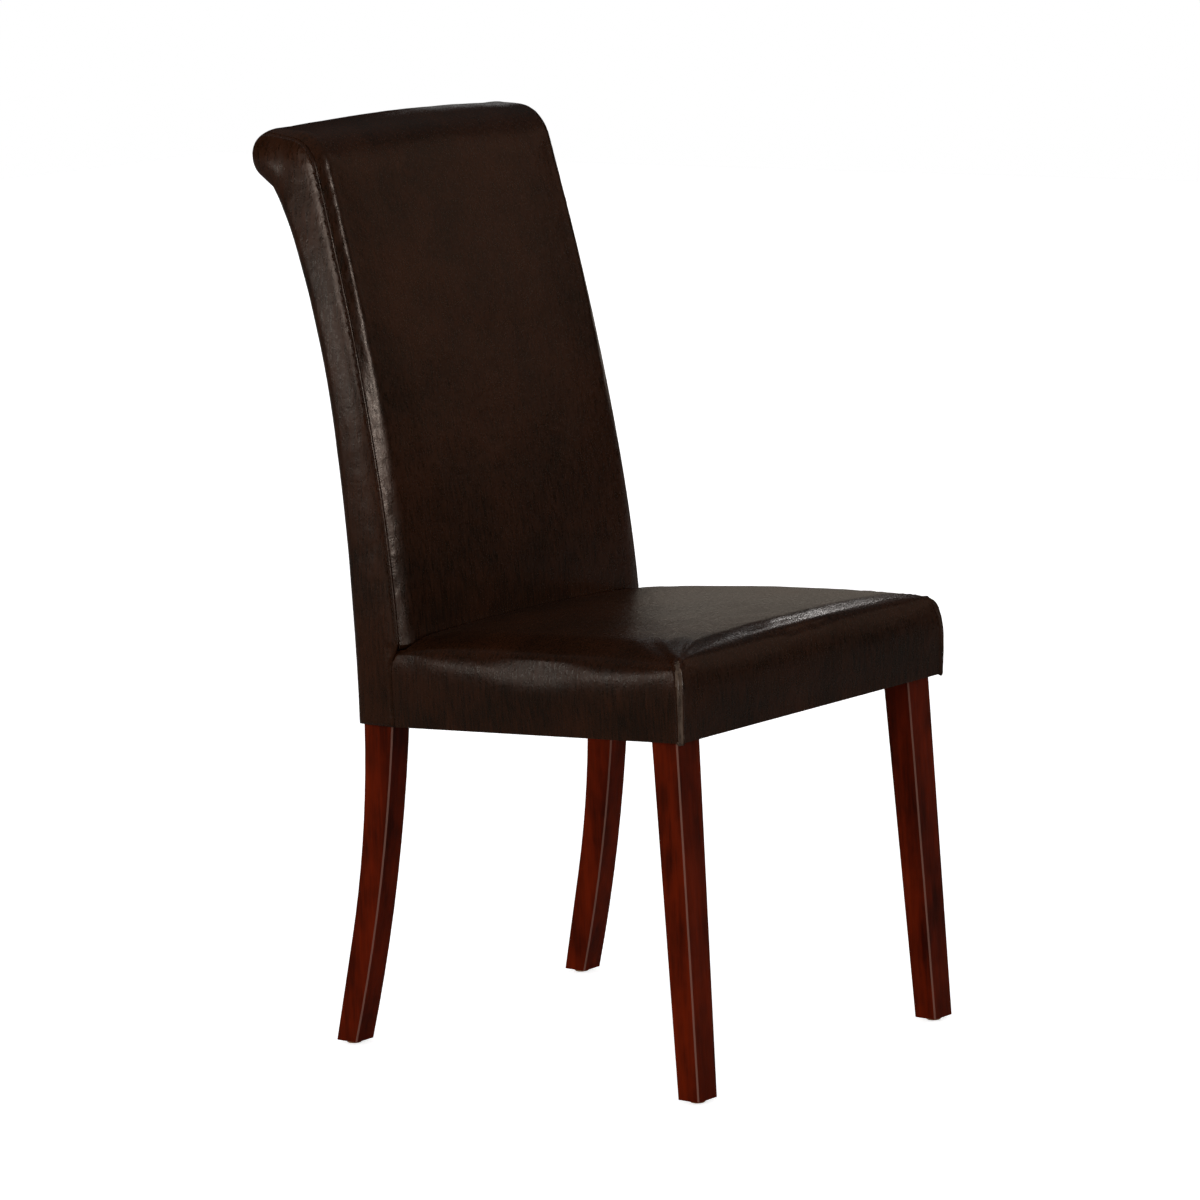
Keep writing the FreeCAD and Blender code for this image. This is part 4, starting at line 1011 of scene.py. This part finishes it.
# %% [markdown]
# The seat is hollow underneath: its cover goes round the rails, turns under them as a
# hem and leaves room for the legs. The room is cut out with plain blocks, which are
# removed afterwards. Each block stays clear of the wooden pieces inside it.

# %% Hollow the seat
WADDING = 4.5
BED_RISE = 61.0
LEG_ROOM = ((186.0, 226.5), (-291.7, -255.6))
HEM_FROM, HEM_TO = -5.0, 3.0
BEYOND = SEAT_AFT + 20.0


def under(y):
    return seat_size(UNDER_SEAT, y)


def cutter(corners, low, high):
    """An upright block over a plan outline, between two heights above the lower edge."""
    count = len(corners)
    points = [(x, y, under(y) + height) for height in (low, high) for x, y in corners]
    faces = [tuple(range(count)), tuple(range(count, 2 * count))]
    return make_piece("cutter", points, faces + rim_faces(count, count))


def cut(piece, tool):
    difference = piece.modifiers.new("cut", "BOOLEAN")
    difference.operation, difference.object, difference.solver = "DIFFERENCE", tool, "EXACT"
    evaluated = piece.evaluated_get(bpy.context.evaluated_depsgraph_get())
    shaped = bpy.data.meshes.new_from_object(evaluated)
    piece.modifiers.remove(difference)
    piece.data = shaped
    bpy.data.objects.remove(tool)


def trapezoid(inset, aft):
    front, rear = (seat_size(SEAT_HALF, y) - inset for y in (SEAT_FORE + inset, aft))
    return [(-front, SEAT_FORE + inset), (front, SEAT_FORE + inset), (rear, aft), (-rear, aft)]


cut(seat, cutter(trapezoid(WADDING, BEYOND), COVER_THICK, BED_RISE))
cut(seat, cutter(trapezoid(HEM_WIDTH, BEYOND), HEM_FROM, HEM_TO))
for side in (-1, 1):
    (near, far), (fore, aft) = LEG_ROOM
    room = [(side * near, fore), (side * far, fore), (side * far, aft), (side * near, aft)]
    cut(seat, cutter(room, HEM_FROM, HEM_TO))
seat.data.shade_smooth()
seat.data.set_sharp_from_angle(angle=math.radians(50.0))
dress(seat, leather, "leather", "seat_cover", "seat_foam", "seat_border_wadding")

# %% [markdown]
# The lips of the corner seams get a paler finish of the same leather. It is a painted
# highlight that stands for the bright line of light that the raised lips catch.

# %% Paint a highlight on the corner lips
LIP_HIGHLIGHT_WIDTH = 3.9
seat.data.materials.append(lip_highlight_leather)
points = places(seat)
to_seams = [nearest(points, corner_seam(side)) for side in (-1, 1)]
# Faces close to a corner seam take the paler leather: a painted highlight on the lips.
highlighted = np.minimum(*to_seams) < LIP_HIGHLIGHT_WIDTH
for face in seat.data.polygons:
    if all(highlighted[corner] for corner in face.vertices):
        face.material_index = 1
print("rubbed faces:", sum(face.material_index for face in seat.data.polygons))

# %% [markdown]
# ## The dust cloth
# Black cloth closes the seat from below, cut round the legs, folded under at its edges
# and stapled to the rails. It hangs a little between the staples.

# %% Dust cloth
CLOTH_THICK = 0.6
CLOTH_INSET = 10.0
CLOTH_SIDE_AFT, CLOTH_AFT = 112.0, 157.6
LEG_GAP = 0.6
FOLD_IN = 13.0
CLOTH_WAVE = (0.5, 45.0, 8)
CLOTH_SAG = 2.2


def cloth_outline():
    """Corners of the cloth in plan. One half is written down and mirrored."""
    fore = SEAT_FORE + CLOTH_INSET
    leg_in, leg_aft = LEG_ROOM[0][0] - LEG_GAP, LEG_ROOM[1][1] + LEG_GAP
    out_fore, out_aft = (seat_size(SEAT_HALF, y) - CLOTH_INSET for y in (leg_aft, CLOTH_SIDE_AFT))
    half = [(leg_in, fore), (leg_in, leg_aft), (out_fore, leg_aft), (out_aft, CLOTH_SIDE_AFT),
            (POST_ROOM, CLOTH_SIDE_AFT), (POST_ROOM, CLOTH_AFT)]
    return half + [(-x, y) for x, y in half[::-1]]


def dense(corners, pitch):
    """A closed outline with extra points along its sides."""
    found = []
    for start, end in zip(corners, corners[1:] + corners[:1]):
        count = max(1, round(math.dist(start, end) / pitch))
        found.extend(np.linspace(start, end, count, endpoint=False))
    return np.array(found)


cloth_corners = cloth_outline()
cloth_rim = dense(cloth_corners, 9.0)
cloth_spots, cloth_faces = fill_outline(cloth_rim, 11.0, 5.0)
to_rim = nearest(cloth_spots, cloth_rim)


def bed_level(y):
    """The lower face of the seat: sloped under the seat, level behind it."""
    return np.where(y < REAR_PLANE, under(np.minimum(y, REAR_PLANE)), UNDER_SEAT[1])


sag = CLOTH_SAG * dome(to_rim - 14.0, 130.0)
sag += waves(np.column_stack([cloth_spots, to_rim]), CLOTH_WAVE)
fold = 0.35 * np.exp(-((to_rim - FOLD_IN) / 3.0) ** 2) * np.where(to_rim > FOLD_IN - 1.0, 1.0, 0.3)
lower = bed_level(cloth_spots[:, 1]) - 0.7 + fold - sag * ease(to_rim / 30.0)
cloth_layers = [np.column_stack([cloth_spots, level]) for level in (lower, lower + CLOTH_THICK)]
dust_cloth = make_piece("dust_cloth", *two_layers(*cloth_layers, cloth_faces, len(cloth_rim)))
dress(dust_cloth, felt, "dust_cloth", "dust_cover")

# %% [markdown]
# Staples hold the cloth to the rails, about 5 cm apart. Each is one bent wire
# whose ends go up into the wood. Short sides of the outline, as round a leg, get none.

# %% Staples
STAPLE_WIDTH, STAPLE_DEPTH = 10.0, 1.6
STAPLE_WIRE = 0.5
STAPLE_INSET = 6.0
STAPLE_PITCH, STAPLE_END = 48.0, 22.0
SHORTEST_SIDE = 60.0
SEAT_CENTRE = np.array([0.0, -70.0])


def staples():
    parts = []
    corners = [np.array(corner) for corner in cloth_corners]
    for start, end in zip(corners, corners[1:] + corners[:1]):
        length = np.linalg.norm(end - start)
        if length < SHORTEST_SIDE:
            continue
        ahead = (end - start) / length
        inward = np.array([-ahead[1], ahead[0]])
        if inward @ (SEAT_CENTRE - start) < 0.0:
            inward = -inward
        count = round(length / STAPLE_PITCH)
        for distance in np.linspace(STAPLE_END, length - STAPLE_END, count):
            middle = start + ahead * distance + inward * STAPLE_INSET
            first, last = (middle + ahead * way * STAPLE_WIDTH / 2 for way in (-1, 1))
            level = float(bed_level(middle[1])) - 0.9
            path = [(*first, level + STAPLE_DEPTH), (*first, level), (*middle, level - 0.1),
                    (*last, level), (*last, level + STAPLE_DEPTH)]
            parts.append(tube(path, STAPLE_WIRE))
    return many(parts)


dress(make_piece("dust_cloth_staples", *staples()), staple_wire, "screw_steel")

# %% [markdown]
# ## Red cherry finish
# The legs are stained a deep red brown and lacquered. The grain runs up the leg, so the
# noise is squeezed along Z to draw it out into streaks. The planed edges get a painted
# highlight: a paler colour where the normal faces between two sides, standing for the
# light that the lacquered edges catch. A few small dark knots are the middles of large cells.

# %% Cherry finish
def cherry_finish():
    wood = Finish("red_cherry_lacquer", Specular_IOR_Level=0.25,
                  Specular_Tint=(1.0, 0.45, 0.25, 1.0))
    streaks = wood.clouds(46.0, 5.0, 0.6, wood.stretched(1.0, 1.0, 0.07))
    fine = wood.clouds(240.0, 3.0, 0.6, wood.stretched(1.0, 1.0, 0.08))
    blotches = wood.clouds(26.0, 3.0, 0.6, wood.stretched(1.0, 1.0, 0.5))
    tone = wood.weigh((streaks, 0.35), (fine, 0.25), (blotches, 0.4))
    colour = wood.blend(wood.spread(tone, 0.38, 0.62), paint(48, 8, 2), paint(108, 27, 3))
    facing = wood.add("ShaderNodeSeparateXYZ", Vector=wood.add("ShaderNodeNewGeometry")["Normal"])
    across = wood.sums("ABSOLUTE", facing["X"], 0.0)
    ahead = wood.sums("ABSOLUTE", facing["Y"], 0.0)
    edge = wood.spread(wood.sums("MINIMUM", across, ahead), 0.42, 0.6)
    # Painted highlight: faces between two sides, which are the edges, are mixed towards a pale
    # colour.
    colour = wood.blend(wood.sums("MULTIPLY", edge, 0.6), colour, paint(140, 104, 92))
    knot = wood.add("ShaderNodeTexVoronoi", Vector=wood.stretched(1.0, 1.0, 0.45),
                    Scale=6.0)["Distance"]
    colour = wood.blend(wood.spread(knot, 0.03, 0.07, 0.75, 0.0), colour, paint(18, 3, 1))
    grain = wood.sums("ADD", streaks, fine)
    return wood.done(Base_Color=colour, Roughness=wood.spread(streaks, 0.3, 0.7, 0.28, 0.42),
                     Normal=wood.bumps(grain, 0.0004, 0.5))


cherry = cherry_finish()

# %% [markdown]
# ## Finishes for what the covers hide
# Under the covers are plain frame wood, woven webbing, board, steel screws and nylon
# glides. They seldom show, but each gets its own recipe, because a lifted dust cloth or
# a cutaway picture would show them.

# %% Frame wood, webbing, board, steel and nylon
raw = Finish("plain_frame_wood")
raw_streaks = raw.clouds(30.0, 5.0, 0.6, raw.stretched(0.15, 1.0, 1.0))
frame_wood = raw.two_tone(raw_streaks, (150, 112, 70), (206, 172, 122), 0.7,
                          (raw_streaks, 0.0004, 0.5))

band = Finish("elastic_webbing")
warp, weft = (band.add("ShaderNodeTexWave", {"bands_direction": way}, Vector=band.where,
                       Scale=160.0)["Fac"] for way in ("X", "Y"))
weave = band.sums("MULTIPLY", warp, weft)
webbing = band.two_tone(weave, (70, 58, 44), (168, 148, 116), 0.9, (weave, 0.0005, 0.7))

card = Finish("grey_board")
fibres = card.clouds(300.0, 4.0, 0.7)
board = card.two_tone(fibres, (128, 112, 90), (168, 152, 128), 0.9, (fibres, 0.0002, 0.4))

metal = Finish("screw_steel", Metallic=1.0)
screw_steel = metal.two_tone(metal.clouds(500.0, 3.0), (130, 130, 128), (186, 186, 182),
                             (0.3, 0.45))

plastic = Finish("tan_nylon")
wear = plastic.clouds(120.0, 4.0, 0.6)
nylon = plastic.two_tone(wear, (150, 116, 84), (186, 152, 116), (0.4, 0.6),
                         (wear, 0.0002, 0.3))

# %% [markdown]
# The wooden and hidden nodes keep their shapes. Each is given its finish by the start of
# its name, and the loop prints any node that was forgotten.

# %% Give the frame its finishes
NODE_FINISHES = {
    "front_leg": cherry, "rear_post": cherry, "seat_rail": frame_wood,
    "corner_block": frame_wood, "corner_block_screws": screw_steel, "back_rail": frame_wood,
    "scroll_rail": frame_wood, "scroll_board": board, "outside_back_board": board,
    "back_webbing": webbing, "seat_webbing": webbing, "glide": nylon}

for node_name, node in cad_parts.items():
    if node.hide_render:
        continue
    starts = [start for start in NODE_FINISHES if node_name.startswith(start)]
    if not starts:
        print("no finish for", node_name)
        continue
    node.data.materials.clear()
    node.data.materials.append(NODE_FINISHES[max(starts, key=len)])

# %% [markdown]
# ## The camera
# The camera stands where the photographer stood. Its place and its turn were worked out
# from the chair's known points in the picture, which also gave the long lens. Its angles
# are how far it stands round the chair, how high it looks from and how much it is tilted.
# The matrix holds the camera's right, up and backward directions as columns.

# %% Camera
CAMERA_PLACE = (-4.70046, -3.87840, 1.47909)
CAMERA_ANGLES = (-50.5326, 9.2496, -2.1876)
CAMERA_LENS, CAMERA_FILM = 166.715, 36.0

azimuth, elevation, roll = (math.radians(angle) for angle in CAMERA_ANGLES)
back = Vector((math.sin(azimuth) * math.cos(elevation),
               -math.cos(azimuth) * math.cos(elevation), math.sin(elevation)))
level = Vector((math.cos(azimuth), math.sin(azimuth), 0.0))
upward = back.cross(level)
right = math.cos(roll) * level + math.sin(roll) * upward
above = math.cos(roll) * upward - math.sin(roll) * level
camera_data = bpy.data.cameras.new("photo_camera")
camera_data.lens, camera_data.sensor_width = CAMERA_LENS, CAMERA_FILM
camera_data.clip_end = 100.0
camera = bpy.data.objects.new("photo_camera", camera_data)
turned = Matrix((right, above, back)).transposed().to_4x4()
camera.matrix_world = Matrix.Translation(CAMERA_PLACE) @ turned
bpy.context.scene.collection.objects.link(camera)
bpy.context.scene.camera = camera
bpy.context.scene.view_settings.view_transform = "Standard"
print("camera distance:", round((Vector(CAMERA_PLACE) - Vector((0.0, 0.0, 0.5))).length, 2), "m")

# %% [markdown]
# ## The floor
# The chair stands on a pale floor that takes a soft shadow. The camera sees the floor
# with a glow of its own added, so that it comes out as white as the background.

# %% Floor
FLOOR_HALF = 9000.0
FLOOR_LIFT = 0.76
floor_corners = [(-FLOOR_HALF, -FLOOR_HALF, 0.0), (FLOOR_HALF, -FLOOR_HALF, 0.0),
                 (FLOOR_HALF, FLOOR_HALF, 0.0), (-FLOOR_HALF, FLOOR_HALF, 0.0)]
floor = make_piece("floor", floor_corners, [(0, 1, 2, 3)])
pale = Finish("pale_floor", Roughness=0.9, Specular_IOR_Level=0.0)
seen = pale.add("ShaderNodeLightPath")["Is Camera Ray"]
pale.fill(pale.shader, {"Base_Color": pale.blend(seen, paint(120, 118, 116), paint(243, 243, 243)),
                        "Emission_Color": (1.0, 1.0, 1.0, 1.0),
                        "Emission_Strength": pale.sums("MULTIPLY", seen, FLOOR_LIFT)})
floor.data.materials.append(pale.done())

# %% [markdown]
# ## The room
# Round the chair is a faint glow that is dark at the floor and brighter overhead. It
# fills the shadows and shows in the gloss of the cover. Only the camera sees the room as
# plain white.

# %% Room
ROOM_LOW, ROOM_HIGH = 0.012, 0.12
world = bpy.context.scene.world or bpy.data.worlds.new("room")
bpy.context.scene.world = world
world.use_nodes = True
room = Recipe(world.node_tree)
heading = room.add("ShaderNodeTexCoord")["Generated"]
height = room.add("ShaderNodeSeparateXYZ", Vector=heading)["Z"]
glow = room.spread(height, 0.25, 0.95, ROOM_LOW, ROOM_HIGH, "SMOOTHSTEP")
watched = room.add("ShaderNodeLightPath")["Is Camera Ray"]
room.fill(world.node_tree.nodes["Background"],
          {"Color": (1.0, 1.0, 1.0, 1.0), "Strength": room.sums("MAXIMUM", glow, watched)})
print("room glow:", ROOM_LOW, "to", ROOM_HIGH)


# %% [markdown]
# ## The lamps
# Dark glossy leather is hard to light, because a lamp bright enough for its colour also
# burns a white spot into its gloss. So the two jobs are shared out. Five wide far lamps
# light the colours and are left out of the gloss. The others show in the gloss only: two
# far lamps and some lit panels, each put where one highlight of the photograph asks for
# it, such as the fold beside the side seam, the roll and the edges of the seat.

# %% Lamps
SUN_WIDTH = 50.0
LOW_DISTANCE, LOW_FROM, LOW_TO = 3.0, 0.05, 0.45
WHITE = (1.0, 1.0, 1.0)


def hang(light, placed, colour):
    """Hangs a lamp in the scene where the camera can't see it."""
    light.color = colour
    shine = bpy.data.objects.new(light.name, light)
    shine.matrix_world = placed
    shine.visible_camera = False
    bpy.context.scene.collection.objects.link(shine)
    return shine


def facing(direction):
    """Turns a lamp so that it shines from a direction."""
    return Vector(direction).to_track_quat("Z", "Y").to_matrix().to_4x4()


def far_lamp(name, direction, strength, width, colour=WHITE):
    """A soft light far away. Width is how wide it looks, in degrees."""
    light = bpy.data.lights.new(name, "SUN")
    light.energy, light.angle = strength, math.radians(width)
    return hang(light, facing(direction), colour)


def even_light(name, direction, strength):
    """A wide far lamp, which brings out the colours and makes no gloss."""
    far_lamp(name, direction, strength, SUN_WIDTH).visible_glossy = False


def sheen_panel(name, centre, direction, size, brightness, colour=WHITE, spread=180.0):
    """A lit panel that shines from a direction and shows in the gloss only."""
    light = bpy.data.lights.new(name, "AREA")
    light.shape, (light.size, light.size_y) = "RECTANGLE", size
    light.energy, light.spread = brightness * math.pi * size[0] * size[1], math.radians(spread)
    hang(light, Matrix.Translation(centre) @ facing(direction), colour).visible_diffuse = False


def low_panel(name, heading, width, brightness, colour=WHITE):
    """A sheen panel lower than the seat. Heading is in degrees from the front."""
    turn = math.radians(heading)
    ahead = Vector((math.sin(turn), -math.cos(turn), 0.0))
    middle, height = Vector((0.0, 0.0, (LOW_FROM + LOW_TO) / 2)), LOW_TO - LOW_FROM
    sheen_panel(name, ahead * LOW_DISTANCE + middle, ahead, (width, height), brightness, colour)


even_light("left_light", (-0.98, 0.1, 0.1), 2.4)
even_light("front_light", (-0.12, -0.96, 0.1), 1.2)
even_light("right_light", (0.97, -0.1, 0.15), 1.6)
even_light("rear_light", (0.1, 0.96, 0.15), 1.6)
even_light("top_light", (0.0, 0.1, 1.0), 0.3)
far_lamp("fold_sheen", (-0.12, -0.96, 0.24), 0.5, 12.0).visible_diffuse = False
far_lamp("back_sheen", (0.72, -0.62, 0.34), 0.06, 30.0, (1.0, 0.72, 0.58)).visible_diffuse = False
low_panel("low_sheen", -97.0, 1.2, 0.4)
low_panel("corner_sheen", -40.0, 0.5, 1.2, (1.0, 0.8, 0.6))
sheen_panel("side_sheen", (-1.4, 0.42, 1.0), (-1.0, 0.12, 0.0), (0.6, 0.36), 0.17, spread=24.0)
sheen_panel("border_sheen", (-1.35, 0.93, 0.72), (-0.76, 0.63, 0.16), (0.5, 0.14), 4.0)
away = level.cross(Vector((0.0, 0.0, -1.0)))
sheen_panel("seat_panel", Vector((1.2, 0.928, 0.73)) + 0.275 * level, away, (0.55, 0.42), 0.36,
            (1.0, 0.88, 0.74))
sheen_panel("crest_panel", Vector((1.05, 1.12, 1.24)) + 0.15 * level, away, (0.3, 0.16), 0.6)
sheen_panel("edge_panel", (0.68, -0.04, 0.95), (0.76, 0.28, 0.585), (0.14, 0.03), 1.6, spread=50.0)
